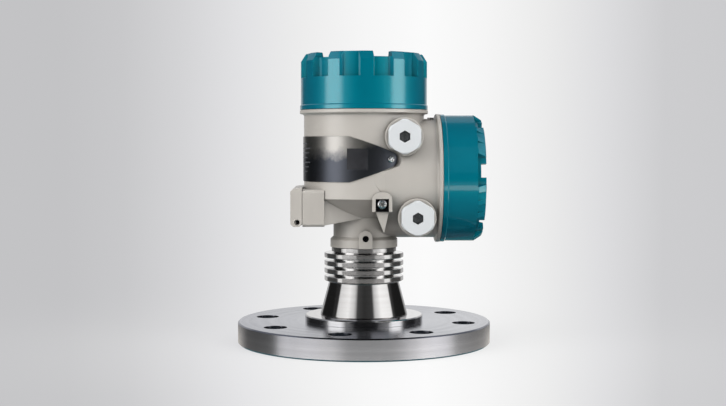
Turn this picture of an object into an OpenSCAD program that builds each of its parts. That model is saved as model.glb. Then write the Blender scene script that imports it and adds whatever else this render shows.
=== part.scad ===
// Radar level transmitter: a two-chamber cast housing that swivels on a finned
// steel neck, above a bolted flange with an encapsulated lens antenna.
// Millimetres. The origin is the centre of the flange's sealing face.
// +Z is up the antenna axis, +X points at the terminal cover and -Y at the
// cable entries.

/* [Flange] */
// Outside diameter of the flange
flange_d = 200; // [192:1:240]
// Thickness of the flange
flange_t = 17; // [14:0.5:26]
// Diameter of the bolt circle
bolt_circle_d = 160; // [140:1:166]
// Number of bolt holes
bolt_count = 8; // [4:4:12]
// Diameter of a bolt hole
bolt_hole_d = 18; // [12:0.5:22]
// Turn of the bolt circle against the housing, in degrees
bolt_turn = -13.7; // [-22.5:0.1:22.5]
// Chamfer on the rims of the flange
flange_chamfer = 1; // [0.4:0.1:2.5]

/* [Collar and cone] */
// Diameter of the collar plate
collar_d = 93.4; // [84:0.2:110]
// Thickness of the collar plate
collar_t = 5; // [3:0.5:9]
// Chamfer on the collar plate
collar_chamfer = 0.8; // [0.2:0.1:1.5]
// Diameter of the cone at its foot
cone_foot_d = 69; // [62:0.5:80]
// Diameter of the cone at its top
cone_top_d = 55.4; // [50:0.2:60]
// Height of the cone
cone_h = 26.6; // [20:0.2:40]

/* [Antenna] */
// Diameter of the lens disc
lens_d = 76; // [64:1:84]
// Thickness of the lens disc
lens_t = 7; // [5:0.5:10]
// Set-back of the lens from the sealing face
lens_setback = 0.5; // [0.3:0.1:2]
// Height of the lens's rear cone
lens_cone_h = 18; // [10:1:24]
// Outside diameter of the horn's mouth
horn_d = 46; // [36:1:56]
// Wall of the horn
horn_wall = 1.5; // [1:0.1:2.5]
// Outside diameter of the wave guide tube
guide_d = 10; // [8:0.5:12]
// Bore of the wave guide tube
guide_bore_d = 6; // [4:0.5:7]
// Height of the process seal
process_seal_h = 6; // [4:0.5:10]
// Ring gap round the guide that the process seal fills
process_seal_w = 4; // [2.5:0.5:5]

/* [Cooling neck] */
// Diameter of a fin
fin_d = 62.8; // [58:0.2:76]
// Thickness of a fin
fin_t = 3.8; // [2.5:0.1:4.5]
// Distance from fin to fin
fin_pitch = 6.1; // [5.2:0.1:8]
// Number of fins
fin_count = 4; // [2:1:6]
// Diameter of the core between the fins
core_d = 48.5; // [46:0.5:54]
// Width of the groove under the lowest fin
core_groove_w = 0.5; // [0.3:0.1:2]
// Height of the plain neck above the fins
core_top_h = 4.3; // [3:0.1:8]
// Height of the land that the housing runs over
neck_land_h = 3.3; // [1.5:0.1:4.2]
// Diameter of the spigot that carries the housing
spigot_d = 40; // [34:0.5:42]
// Length of the spigot
spigot_l = 21; // [19:0.5:22]
// Height of the shoulder that the swivel ring hooks over
swivel_shoulder_h = 16.2; // [14:0.1:17]
// Outside diameter of the swivel ring
swivel_ring_d = 45; // [43:0.5:45]
// Thickness of the swivel ring
swivel_ring_t = 1.8; // [1.2:0.1:2.5]

/* [Housing neck] */
// Diameter of the housing's neck collar
neck_collar_d = 53.2; // [50:0.2:58]
// Height of the neck collar
neck_collar_h = 6.2; // [4:0.2:7]
// Diameter of the neck above its collar
neck_d = 48.4; // [47:0.2:50]
// Height where the neck meets the funnel under the upright barrel
neck_top_h = 23.7; // [20:0.1:26]
// Width of the lug for the neck lock screw
lug_w = 10.5; // [9:0.5:13]
// Height of the lug
lug_h = 14.2; // [12:0.2:15]
// Thread diameter of the neck lock screw
neck_screw_d = 5; // [4:0.5:6]
// Length of the neck lock screw
neck_screw_l = 6; // [5:0.5:9]
// Offset of the neck lock screw from the housing's axis
neck_screw_x = 0.9; // [0:0.1:2]

/* [Electronics barrel] */
// Outside diameter of the upright barrel
barrel_d = 94.8; // [94:0.2:98]
// Height of the ledge under the barrel above the housing's foot
ledge_h = 38.6; // [38:0.2:42]
// Height of the barrel's rim above the housing's foot
rim_h = 107.8; // [107:0.2:116]
// Diameter of both rims
rim_d = 101.4; // [100:0.2:106]
// Thickness of both rims
rim_t = 3; // [2.5:0.5:6]
// Radius under the rims
rim_fillet = 2; // [1:0.5:2.5]
// Step from the upright barrel in to the funnel under it
funnel_inset = 0.9; // [0.4:0.1:4]
// Diameter of both chambers
chamber_d = 80; // [76:0.5:81]
// Floor of the electronics chamber above the housing's foot
chamber_floor_h = 43; // [42.5:0.5:46]
// Face of the partition towards the electronics
partition_x = 22; // [20:0.5:24]
// Thickness of the partition
partition_t = 5; // [4:0.5:6]

/* [Terminal barrel] */
// Height of the terminal barrel's axis above the housing's foot
side_h = 54.2; // [53:0.2:55]
// Outside diameter of the terminal barrel
side_d = 93.8; // [92:0.2:96]
// Distance of the terminal barrel's rim from the housing's axis
side_rim_x = 59.4; // [59:0.1:70]
// Distance of the terminal barrel's closed end from the housing's axis
side_start_x = 14; // [0:0.5:20]

/* [Covers] */
// Step from the housing's rims in to the covers' seam bands
cover_band_inset = 0.2; // [0:0.1:1]
// Step from a cover's seam band in to its body
cover_band_step = 0.7; // [0.4:0.1:1.2]
// Height of that band
cover_band_h = 3.4; // [2:0.2:6]
// Height of the top cover
top_cover_h = 43.8; // [38:0.2:60]
// Height of the side cover
side_cover_h = 33; // [28:0.5:50]
// Diameter of the cover threads in the housing
thread_d = 83.6; // [82:0.2:85]
// Length of the cover threads
thread_l = 8; // [7:0.5:8.5]
// Wall of a cover's threaded sleeve
sleeve_wall = 5; // [4.5:0.1:5.5]
// Thickness of a cover's end wall
cover_roof_t = 4; // [3:0.5:6]
// Depth of the dish inside the crown ring
crown_h = 4; // [3:0.5:5]
// Bore of the crown ring
crown_bore_d = 80; // [74:0.5:82]
// Radial depth of the grip slots
slot_depth = 4.8; // [3:0.2:5.5]
// Outer corner of a cover: radial width
corner_w = 3.4; // [2:0.2:4]
// Outer corner of a cover: height
corner_h = 6; // [4:0.5:8]
// Number of grip slots on the top cover
top_slot_count = 12; // [8:2:14]
// Length of the top cover's grip slots
top_slot_l = 18.8; // [12:0.2:22]
// Width of a top slot at the rim
top_slot_w = 16.9; // [10:0.1:18]
// Width of a top slot at its floor
top_slot_floor_w = 11.6; // [8:0.1:12]
// Width of the notches through the top crown ring
top_notch_w = 14.5; // [8:0.1:16]
// Turn of the top cover, in degrees
top_cover_turn = -73.4; // [-90:0.1:0]
// Number of recesses on the side cover
side_slot_count = 6; // [4:1:6]
// Length of the side cover's recesses
side_slot_l = 6.9; // [5:0.1:9]
// Width of a side recess at the rim
side_slot_w = 28.4; // [20:0.2:30]
// Width of a side recess at its floor
side_slot_floor_w = 21.5; // [14:0.5:24]
// Width of the notch through the side crown ring
side_notch_w = 10.4; // [6:0.2:14]
// Turn of the side cover, in degrees
side_cover_turn = 8.6; // [-30:0.1:30]
// Width of a grip pocket between the recesses
pocket_w = 6.4; // [4:0.2:7]
// Turn of a grip pocket from the middle of its block, in degrees
pocket_turn = 6.1; // [5:0.1:8]
// Thread diameter of the cover lock screws
lock_screw_d = 5; // [4:0.5:5.5]
// Length of the cover lock screws
lock_screw_l = 3.2; // [2.8:0.1:4]
// Depth of their seats in the terminal barrel
lock_screw_depth = 2.4; // [2:0.1:2.6]
// Distance of the lock screws from the side rim
lock_screw_inset = 4.1; // [3:0.1:5]
// Offset of the upper lock screw from the terminal barrel's axis
lock_screw_y = 6; // [4:0.5:8]

/* [Seals] */
// Thickness of the cover seals
cover_seal_d = 2.4; // [1.6:0.1:2.6]
// Thickness of the neck seal
neck_seal_d = 2.6; // [1.8:0.1:3]
// Thickness of the lens seal
lens_seal_d = 3; // [2:0.1:3.5]

/* [Cable entries] */
// Diameter of a cable entry
entry_d = 20; // [16:0.5:20]
// Diameter of the boss round an entry
boss_d = 29.2; // [28:0.2:32]
// Step from the upright barrel out to the boss faces
boss_step = 1.1; // [0.8:0.1:2.2]
// Place of the upper entry along the terminal barrel
upper_entry_x = 29.7; // [29:0.1:33]
// Height of the upper entry above the housing's foot
upper_entry_h = 86.7; // [86:0.1:88]
// Place of the lower entry along the terminal barrel
lower_entry_x = 39.6; // [39:0.1:41]
// Height of the lower entry above the housing's foot
lower_entry_h = 25.2; // [24:0.1:27]
// Width of a plug across its flats
plug_af = 24.5; // [23:0.5:26]
// Diameter that the plug's corners are turned to
plug_corner_d = 26.6; // [26:0.2:28]
// Thickness of the plug's head
plug_head_t = 8; // [5:0.5:12]
// Length of the plug's shank
plug_shank_l = 12; // [8:0.5:14]
// Width of the plug's hexagon socket
plug_socket_af = 8; // [6:0.5:10]
// Depth of the plug's socket
plug_socket_depth = 6; // [4:0.5:8]
// Thickness of the plug seal
plug_seal_t = 1.5; // [1:0.1:2.5]

/* [Nameplate] */
// Lower edge of the nameplate above the housing's foot
plate_h = 52.2; // [50:0.2:54]
// Height of the nameplate
plate_w = 34.8; // [30:0.2:37]
// Thickness of the nameplate
plate_t = 0.6; // [0.4:0.1:1]
// Middle of the nameplate round the barrel, in degrees from -Y
plate_turn = -60; // [-64:1:-50]
// Half the angle over the plate's straight edges
plate_straight_a = 43.2; // [36:0.2:45]
// Distance from the straight edges to a tip's screw
plate_tip_l = 34.5; // [30:0.5:38]
// Radius of a tip
plate_tip_r = 5.6; // [4:0.1:7]
// Head diameter of a nameplate screw
plate_screw_d = 5.4; // [4:0.1:6]
// Shank diameter of a nameplate screw
plate_shank_d = 2.4; // [2:0.1:3]
// Length of that shank
plate_shank_l = 5; // [4:0.5:5.5]

/* [Ground terminal] */
// Place of the ground terminal across the housing
ground_x = 13; // [12:0.1:15]
// Width of the ground boss
ground_w = 15.2; // [13:0.2:16]
// Step from the rims in to the boss's face
ground_inset = 0.7; // [0.2:0.1:1.5]
// Lower edge of the boss above the housing's foot
ground_h = 29.9; // [28:0.2:31]
// Width of the pocket for the clamp
ground_pocket_w = 10.2; // [9:0.2:11]
// Height of the pocket for the clamp
ground_pocket_h = 9.7; // [9:0.1:11]
// Depth of the pocket
ground_pocket_depth = 4; // [3:0.5:5]
// Thickness of the ground clamp
clamp_t = 1.4; // [0.8:0.1:1.8]
// Head diameter of the ground screw
ground_head_d = 7.4; // [6:0.1:8]
// Thread diameter of the ground screw
ground_screw_d = 4; // [3:0.5:5]

/* [Key box] */
// Step from the upright barrel out to the key box's face
box_step = 0.3; // [0.1:0.1:2]
// Depth of the box's right edge from the housing's axis
box_in_x = 31; // [30:0.5:34]
// Width of the key box
box_w = 74; // [62:0.5:76]
// Step from the key box's sides in to its arm
arm_inset = 2.5; // [1:0.5:5]
// Lower edge of the key box above the housing's foot
box_h = 17.7; // [17:0.2:20]
// Height of the key box
box_l = 28.4; // [27:0.2:31]
// Edge radius of the key box
box_edge = 2.5; // [1:0.5:4]
// Thickness of the key cover
key_cover_t = 9; // [8.5:0.1:12]
// Height of the finger lip above the key box
key_lip_h = 1.6; // [1:0.2:4]
// Chamfer on the key cover's upper edge
key_cover_chamfer = 2; // [1:0.2:4]
// Depth of the hollow in the key cover
key_cover_hollow = 3.6; // [3:0.1:4.5]
// Diameter of the hinge pin
key_pin_d = 3; // [2:0.1:3.4]
// Radius of the hinge knuckle
knuckle_r = 3.4; // [2.8:0.1:3.4]
// Width of a hinge lug
hinge_lug_w = 8; // [6:0.5:12]
// Distance between the hinge lugs' middles
hinge_lug_gap = 40; // [30:1:46]
// Number of push keys
key_count = 4; // [2:1:4]
// Distance from key to key
key_pitch = 13.5; // [11:0.5:14]
// Diameter of a push key
key_d = 7; // [5:0.5:7.5]
// Distance a key stands out of the box
key_proud = 2; // [1.6:0.1:2.4]
// Travel of a key
key_travel = 1.2; // [0.8:0.1:1.4]
// Thickness of the key membrane
membrane_t = 1.2; // [0.8:0.1:1.6]

/* [Electronics] */
// Diameter of the radar module
radar_d = 30; // [24:1:34]
// Height of the radar module
radar_h = 13; // [11:0.5:16]
// Length of the guide inside the radar module
radar_socket_l = 6; // [4:0.5:8]
// Size of the electronics cassette along X
cassette_x = 40; // [30:1:42]
// Size of the electronics cassette along Y
cassette_y = 52; // [40:1:54]
// Diameter of the display module
display_d = 70; // [60:1:71]
// Height of the display module
display_h = 9; // [7:0.5:12]
// Width of the display window
window_w = 42; // [30:1:48]
// Depth of the display window
window_l = 26; // [20:1:32]
// Thickness of the display window
window_t = 2.4; // [1.5:0.1:3]
// Diameter of the feedthrough
feed_d = 16; // [12:0.5:20]
// Length of the feedthrough's head
feed_head_l = 3; // [2:0.5:5]
// Diameter of the terminal carrier
carrier_d = 60; // [54:1:62]
// Thickness of the terminal carrier
carrier_t = 4; // [3:0.5:6]
// Width of the terminal block
block_w = 44; // [40:1:46]
// Height of the terminal block
block_h = 22; // [18:1:26]
// Depth of the terminal block
block_l = 16; // [12:0.5:18]
// Number of terminals
terminal_count = 5; // [3:1:6]
// Diameter of a terminal screw
terminal_screw_d = 5; // [3.5:0.1:5.5]
// Length of a terminal screw
terminal_screw_l = 5; // [4:0.5:7]

/* [Clearances] */
// Gap between pieces that move past each other
run_gap = 0.3; // [0.2:0.05:0.4]
// Radial play of the swivel and of the hinge pin
fit_gap = 0.05; // [0.02:0.01:0.09]
// Play of pieces that are fixed in their seats
seat_gap = 0.1; // [0.05:0.01:0.15]

/* [Hidden] */

$fn = 96;
eps = 0.01;

beige = [0.72, 0.70, 0.66];
teal = [0.00, 0.45, 0.53];
steel = [0.72, 0.73, 0.76];
dark_steel = [0.28, 0.29, 0.32];
pale_metal = [0.88, 0.89, 0.90];
black_rubber = [0.08, 0.08, 0.09];
amber_plastic = [0.75, 0.55, 0.20];
grey_plastic = [0.35, 0.36, 0.38];
green_board = [0.10, 0.35, 0.20];

// Heights of the steel stack
collar_z = flange_t;
cone_z = collar_z + collar_t;
neck_z = cone_z + cone_h;
fin_z = neck_z + core_groove_w;
shoulder_z = fin_z + (fin_count - 1) * fin_pitch + fin_t + core_top_h;
spigot_top_z = shoulder_z + spigot_l;

// The housing's foot, from which the housing's own heights are counted
foot_z = shoulder_z + run_gap;
swivel_shoulder_z = foot_z + swivel_shoulder_h;
swivel_ring_z = swivel_shoulder_z + run_gap;
swivel_chamber_d = swivel_ring_d + 2 * run_gap;
swivel_chamber_top_z = spigot_top_z + 2;
chamber_floor_z = foot_z + chamber_floor_h;
rim_z = foot_z + rim_h;
side_z = foot_z + side_h;
boss_y = barrel_d / 2 + boss_step;
ground_y = rim_d / 2 - ground_inset;
box_x = barrel_d / 2 + box_step;

// Covers
cover_band_d = rim_d - 2 * cover_band_inset;
cover_d = cover_band_d - 2 * cover_band_step;
sleeve_d = thread_d - 2 * run_gap;
sleeve_bore_d = sleeve_d - 2 * sleeve_wall;
thread_relief = 0.6;
thread_floor_h = thread_l + thread_relief;
seal_groove_w = cover_seal_d + 2 * run_gap;
seal_groove_z = 0.6;
seal_ring_d = sleeve_d - cover_seal_d - 0.2;
seal_groove_d = seal_ring_d - cover_seal_d - 2 * seat_gap;
slot_floor_d = cover_d - 2 * slot_depth;

// Wave guide and horn
guide_top_z = chamber_floor_z + radar_socket_l;
lens_top_z = lens_setback + lens_t;
guide_passage_d = guide_d + 4;

// Key box
hinge_x = -(box_x + run_gap + knuckle_r);
hinge_z = foot_z + box_h + knuckle_r;
key_z = foot_z + box_h + box_l / 2;
key_flange_d = key_d + 2;
key_flange_t = 1.2;
key_well_depth = membrane_t + run_gap + key_flange_t + key_travel + 1;

function arc_points(cx, cy, r, from, to, steps = 6) =
    [for (i = [0:steps]) let (a = from + (to - from) * i / steps)
        [cx + r * cos(a), cy + r * sin(a)]];

function rounded_box(w, h, r, steps = 4) = concat(
    arc_points(w / 2 - r, h / 2 - r, r, 0, 90, steps),
    arc_points(-w / 2 + r, h / 2 - r, r, 90, 180, steps),
    arc_points(-w / 2 + r, -h / 2 + r, r, 180, 270, steps),
    arc_points(w / 2 - r, -h / 2 + r, r, 270, 360, steps));

// Outer radius of the horn at a height above the sealing face
function horn_r(z) = horn_d / 2
    - (horn_d / 2 - guide_d / 2 - horn_wall) * (z - lens_top_z) / (neck_z - lens_top_z);

// Lays a shape's +Z along +X, -X or -Y
module along_x() { rotate([0, 90, 0]) children(); }
module along_minus_x() { rotate([0, -90, 0]) children(); }
module along_minus_y() { rotate([90, 0, 0]) children(); }

module o_ring(ring_d, section_d) {
    rotate_extrude() translate([ring_d / 2, 0]) circle(d = section_d, $fn = 32);
}

// ---------------------------------------------------------------- steel stack

module process_flange() {
    color(steel) difference() {
        rotate_extrude() polygon([
            [horn_d / 2 + seat_gap, 0],
            [flange_d / 2 - flange_chamfer, 0],
            [flange_d / 2, flange_chamfer],
            [flange_d / 2, flange_t - flange_chamfer],
            [flange_d / 2 - flange_chamfer, flange_t],
            [horn_d / 2 + seat_gap, flange_t]
        ]);
        translate([0, 0, -1]) cylinder(d = lens_d + 2 * seat_gap, h = lens_top_z + 1);
        for (i = [0:bolt_count - 1])
            rotate(bolt_turn + i * 360 / bolt_count)
                translate([bolt_circle_d / 2, 0, -1])
                    cylinder(d = bolt_hole_d, h = flange_t + 2, $fn = 64);
    }
}

module collar_plate() {
    color(steel) rotate_extrude() polygon([
        [horn_d / 2 + seat_gap, collar_z],
        [collar_d / 2, collar_z],
        [collar_d / 2, cone_z - collar_chamfer],
        [collar_d / 2 - collar_chamfer, cone_z],
        [horn_d / 2 + seat_gap, cone_z]
    ]);
}

module transition_cone() {
    seam = core_groove_w;
    color(steel) rotate_extrude() polygon([
        [horn_r(cone_z) + seat_gap, cone_z],
        [cone_foot_d / 2 - seam, cone_z],
        [cone_foot_d / 2, cone_z + seam],
        [cone_top_d / 2, neck_z - seam],
        [cone_top_d / 2 - seam, neck_z],
        [horn_r(neck_z) + seat_gap, neck_z]
    ]);
}

module fin() {
    edge = 0.4;
    rotate_extrude() polygon([
        [core_d / 2 - 1, 0],
        [fin_d / 2 - edge, 0],
        [fin_d / 2, edge],
        [fin_d / 2, fin_t - edge],
        [fin_d / 2 - edge, fin_t],
        [core_d / 2 - 1, fin_t]
    ]);
}

module cooling_neck() {
    seal_seat_d = spigot_d - 2 * neck_seal_d - 4 * seat_gap;
    ring_seat_d = spigot_d - 4;
    color(steel) difference() {
        union() {
            translate([0, 0, neck_z]) cylinder(d = core_d, h = shoulder_z - neck_z);
            for (i = [0:fin_count - 1]) translate([0, 0, fin_z + i * fin_pitch]) fin();
            cylinder_between(spigot_d, shoulder_z - 1, spigot_top_z);
            cylinder_between(neck_collar_d - 2, shoulder_z - neck_land_h, shoulder_z);
        }
        cylinder_between(guide_d + 2 * process_seal_w, neck_z - 1, spigot_top_z + 1);
        translate([0, 0, shoulder_z + 4]) ring_cut(seal_seat_d, spigot_d + 2, neck_seal_d + 2 * seat_gap);
        translate([0, 0, swivel_ring_z - seat_gap])
            ring_cut(ring_seat_d, spigot_d + 2, swivel_ring_t + 2 * seat_gap);
    }
}

module cylinder_between(d, z0, z1) { translate([0, 0, z0]) cylinder(d = d, h = z1 - z0); }

// A ring-shaped cut from an inner to an outer diameter
module ring_cut(in_d, out_d, h) {
    difference() {
        cylinder(d = out_d, h = h);
        translate([0, 0, -1]) cylinder(d = in_d, h = h + 2);
    }
}

module antenna_lens() {
    color("white") difference() {
        rotate_extrude() polygon([
            [0, lens_setback],
            [lens_d / 2 - 1, lens_setback],
            [lens_d / 2, lens_setback + 1],
            [lens_d / 2, lens_top_z],
            [horn_d / 2 - horn_wall - 2, lens_top_z],
            [2, lens_top_z + lens_cone_h],
            [0, lens_top_z + lens_cone_h]
        ]);
        translate([0, 0, lens_top_z - lens_seal_d - 2 * seat_gap])
            ring_cut(lens_seal_mid_d() - lens_seal_d - 2 * seat_gap,
                     lens_seal_mid_d() + lens_seal_d + 2 * seat_gap,
                     lens_seal_d + 2 * seat_gap + 1);
    }
}

function lens_seal_mid_d() = (lens_d + horn_d) / 2 + 2;

module lens_seal() {
    color(black_rubber) translate([0, 0, lens_top_z - lens_seal_d / 2 - seat_gap])
        o_ring(lens_seal_mid_d(), lens_seal_d);
}

module feed_horn() {
    color(pale_metal) rotate_extrude() polygon([
        [horn_r(lens_top_z) - horn_wall, lens_top_z],
        [horn_r(lens_top_z), lens_top_z],
        [horn_r(neck_z), neck_z],
        [guide_bore_d / 2, neck_z],
        [guide_bore_d / 2, neck_z - 2]
    ]);
}

module wave_guide() {
    color(pale_metal) difference() {
        cylinder_between(guide_d, neck_z, guide_top_z);
        cylinder_between(guide_bore_d, neck_z - 1, guide_top_z + 1);
    }
}

module process_seal() {
    color("darkslateblue") translate([0, 0, fin_z]) ring_cut(
        guide_d + 2 * seat_gap,
        guide_d + 2 * process_seal_w - 2 * seat_gap,
        process_seal_h);
}

module swivel_ring() {
    color(dark_steel) difference() {
        translate([0, 0, swivel_ring_z])
            ring_cut(spigot_d - 4 + 2 * seat_gap, swivel_ring_d, swivel_ring_t);
        translate([0, -3, swivel_ring_z - 1]) cube([swivel_ring_d, 6, swivel_ring_t + 2]);
    }
}

module neck_seal() {
    color(black_rubber)
        translate([0, 0, shoulder_z + 4 + seat_gap + neck_seal_d / 2])
            o_ring(spigot_d - neck_seal_d - 2 * seat_gap, neck_seal_d);
}

// -------------------------------------------------------------------- housing

// Neck and funnel turned about the swivel axis
module housing_column() {
    funnel_r = barrel_d / 2 - funnel_inset;
    translate([0, 0, foot_z]) rotate_extrude() polygon([
        [0, 0], [neck_collar_d / 2, 0], [neck_collar_d / 2, neck_collar_h],
        [neck_d / 2, neck_collar_h + 2.3], [neck_d / 2, neck_top_h],
        [funnel_r, ledge_h], [funnel_r, ledge_h + 1], [0, ledge_h + 1]]);
}

// A barrel with its rim at the far end, standing on z = 0
module barrel(d, length) {
    edge = 0.5;
    rotate_extrude() polygon(concat(
        [[0, 0], [d / 2 - edge, 0], [d / 2, edge]],
        [[d / 2, length - rim_t - rim_fillet]],
        arc_points(d / 2 + rim_fillet, length - rim_t - rim_fillet, rim_fillet, 180, 90),
        [[rim_d / 2 - edge, length - rim_t], [rim_d / 2, length - rim_t + edge],
         [rim_d / 2, length - edge], [rim_d / 2 - edge, length], [0, length]]));
}

module entry_boss(x, h) {
    edge = 0.6;
    translate([x, 0, foot_z + h]) along_minus_y() rotate_extrude() polygon([
        [0, 0], [boss_d / 2, 0], [boss_d / 2, boss_y - edge],
        [boss_d / 2 - edge, boss_y], [0, boss_y]]);
}

module key_box() {
    translate([-box_in_x, 0, foot_z + box_h + box_l / 2])
        along_minus_x() linear_extrude(box_x - box_in_x)
            polygon(rounded_box(box_l, box_w, box_edge));
}

// The arm from the key box to the neck: its underside slopes and its sides draw in
module box_arm() {
    root_x = -box_in_x - 2;
    half_w = box_w / 2 - arm_inset;
    top_h = ledge_h + 1;
    translate([0, 0, foot_z]) intersection() {
        translate([0, box_w / 2, 0]) along_minus_y() linear_extrude(box_w)
            polygon([[root_x, box_h + 0.6], [0, neck_top_h], [0, top_h], [root_x, top_h]]);
        linear_extrude(top_h + 1) polygon([
            [root_x, -half_w], [0, -neck_d / 2], [0, neck_d / 2], [root_x, half_w]]);
    }
}

module hinge_lugs() {
    for (side = [-1, 1])
        translate([hinge_x, side * hinge_lug_gap / 2 + hinge_lug_w / 2, hinge_z])
            along_minus_y() difference() {
                union() {
                    cylinder(r = knuckle_r - 0.6, h = hinge_lug_w, $fn = 48);
                    translate([0, -knuckle_r + 0.6, 0])
                        cube([knuckle_r + run_gap + 2, 2 * knuckle_r - 1.2, hinge_lug_w]);
                }
                translate([0, 0, -1])
                    cylinder(d = key_pin_d + fit_gap, h = hinge_lug_w + 2, $fn = 48);
            }
}

module ground_boss() {
    arch_h = ground_pocket_h + 0.2;
    foot_w = ground_w - 5;
    translate([ground_x, 0, foot_z + ground_h]) along_minus_y() {
        linear_extrude(ground_y) polygon(concat(
            [[-ground_w / 2, 0], [ground_w / 2, 0], [ground_w / 2, arch_h]],
            [for (a = [20:20:160]) [ground_w / 2 * cos(a), arch_h + 5 * sin(a)]],
            [[-ground_w / 2, arch_h]]));
        linear_extrude(ground_y - 4) polygon([
            [-foot_w / 2, 0], [foot_w / 2, 0], [foot_w / 4 - 1, -16.5]]);
    }
}

module ground_pocket() {
    depth = ground_pocket_depth;
    translate([ground_x - ground_pocket_w / 2, -ground_y - 1, foot_z + ground_h - 1])
        cube([ground_pocket_w, depth + 1, ground_pocket_h + 1]);
    translate([ground_x, -ground_y + depth - 1, ground_screw_z()]) along_minus_y()
        mirror([0, 0, 1]) cylinder(d = ground_screw_d + 2 * seat_gap, h = 9, $fn = 48);
}

function ground_screw_z() = foot_z + ground_h + ground_pocket_h / 2 + 0.9;

module neck_lug() {
    lug_y = neck_collar_d / 2 + 2.4;
    translate([neck_screw_x, 0, foot_z]) along_minus_y() linear_extrude(lug_y) {
        translate([-lug_w / 2, 0]) square([lug_w, lug_h - lug_w / 2]);
        translate([0, lug_h - lug_w / 2]) circle(d = lug_w, $fn = 64);
    }
}

function neck_screw_h() = lug_h - lug_w / 2 - 1.2;

// A level seat for the nameplate's tip, cut into the terminal barrel
module plate_seat() {
    margin = 0.8;
    half_w = plate_w / 2 + margin;
    difference() {
        at_plate_screw(1) linear_extrude(barrel_d) polygon(concat(
            [[plate_taper_x(1), half_w], [plate_taper_x(1), -half_w]],
            [for (i = [-6:6]) plate_tip_point(1, plate_tip_r + margin, i)]));
        cylinder_between(barrel_d, plate_mid_z() - plate_w, plate_mid_z() + plate_w);
    }
}

function plate_mid_z() = foot_z + plate_h + plate_w / 2;
function plate_tip_a() = plate_straight_a + plate_tip_l / barrel_d * 360 / PI;

module electronics_chamber() {
    top = rim_z - thread_floor_h + eps;
    intersection() {
        cylinder_between(chamber_d, chamber_floor_z, top);
        translate([-chamber_d, -chamber_d, chamber_floor_z - 1])
            cube([chamber_d + partition_x, 2 * chamber_d, top]);
    }
    cylinder_between(thread_d, rim_z - thread_floor_h, rim_z + 1);
}

module terminal_chamber() {
    start = partition_x + partition_t;
    translate([start, 0, side_z]) along_x()
        cylinder(d = chamber_d, h = side_rim_x - start - thread_floor_h + eps);
    translate([side_rim_x - thread_floor_h, 0, side_z]) along_x()
        cylinder(d = thread_d, h = thread_floor_h + 1);
    translate([partition_x - 1, 0, side_z]) along_x()
        cylinder(d = feed_d + 2 * seat_gap, h = partition_t + 2);
}

module entry_bore(x, h) {
    depth = boss_y - 14;
    translate([x, -14, foot_z + h]) along_minus_y() cylinder(d = entry_d, h = depth + 1);
}

module swivel_bore() {
    cylinder_between(spigot_d + 2 * fit_gap, foot_z - 1, swivel_shoulder_z + 1);
    cylinder_between(swivel_chamber_d, swivel_shoulder_z, swivel_chamber_top_z);
    cylinder_between(guide_passage_d, swivel_chamber_top_z - 1, chamber_floor_z + 1);
}

module key_wells() {
    membrane_pocket();
    for (i = [0:key_count - 1]) translate([-box_x, key_y(i), key_z]) along_minus_x()
        mirror([0, 0, 1]) cylinder(d = key_flange_d + 2 * run_gap, h = key_well_depth, $fn = 48);
    translate([-box_x - 1, 0, latch_z()]) along_x() cylinder(d = 6, h = 4, $fn = 48);
}

function key_y(i) = (i - (key_count - 1) / 2) * key_pitch;
function latch_z() = foot_z + box_h + box_l - 4.5;

module membrane_pocket() {
    translate([-box_x, 0, key_z]) along_minus_x() mirror([0, 0, 1]) linear_extrude(membrane_t)
        polygon(rounded_box(membrane_w(), membrane_l(), 2));
}

function membrane_l() = (key_count - 1) * key_pitch + key_flange_d + 5;
function membrane_w() = key_flange_d + 3;

// Places of the two cover lock screws: a point and a turn about X
module at_lock_screws() {
    x = side_rim_x - rim_t - lock_screw_inset;
    translate([x, -lock_screw_y, side_z]) children();
    translate([x, 0, side_z]) rotate([135, 0, 0]) children();
}

lock_screw_seat_h = side_d / 2 - lock_screw_depth;

module housing() {
    color(beige) difference() {
        union() {
            housing_column();
            translate([0, 0, foot_z + ledge_h]) barrel(barrel_d, rim_h - ledge_h);
            translate([side_start_x, 0, side_z]) along_x() barrel(side_d, side_rim_x - side_start_x);
            entry_boss(upper_entry_x, upper_entry_h);
            entry_boss(lower_entry_x, lower_entry_h);
            key_box();
            box_arm();
            hinge_lugs();
            ground_boss();
            neck_lug();
        }
        plate_seat();
        electronics_chamber();
        terminal_chamber();
        entry_bore(upper_entry_x, upper_entry_h);
        entry_bore(lower_entry_x, lower_entry_h);
        swivel_bore();
        ground_pocket();
        key_wells();
        translate([neck_screw_x, 0, foot_z + neck_screw_h()]) along_minus_y()
            cylinder(d = neck_screw_d, h = neck_collar_d, $fn = 48);
        for (side = [-1, 1]) at_plate_screw(side)
            translate([0, 0, barrel_d / 2 - 1.2 * plate_shank_l])
                cylinder(d = plate_shank_d + 2 * seat_gap, h = 2 * plate_shank_l, $fn = 32);
        at_lock_screws() translate([0, 0, lock_screw_seat_h])
            cylinder(d = lock_screw_d + 2 * seat_gap, h = 3 * lock_screw_l, $fn = 32);
    }
}

// ------------------------------------------------------------- on the housing

module nameplate() {
    half_a = plate_tip_a() + 2 * plate_tip_r;
    color(dark_steel) difference() {
        translate([0, 0, plate_mid_z() - plate_w / 2]) rotate(plate_turn - half_a - 90)
            rotate_extrude(angle = 2 * half_a)
                translate([barrel_d / 2 + seat_gap / 2, 0]) square([plate_t, plate_w]);
        for (side = [-1, 1]) at_plate_screw(side) {
            linear_extrude(barrel_d) plate_offcut(side);
            cylinder(d = plate_shank_d + 2 * seat_gap, h = barrel_d, $fn = 32);
        }
    }
}

// What is cut off round a tip, seen square on at its screw
module plate_offcut(side) {
    out_x = side * 4 * plate_tip_r;
    polygon(concat(
        [plate_taper_end(side, 1), [out_x, plate_w], [out_x, -plate_w], plate_taper_end(side, -1)],
        [for (i = [-6:6]) plate_tip_point(side, plate_tip_r, i)]));
}

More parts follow.
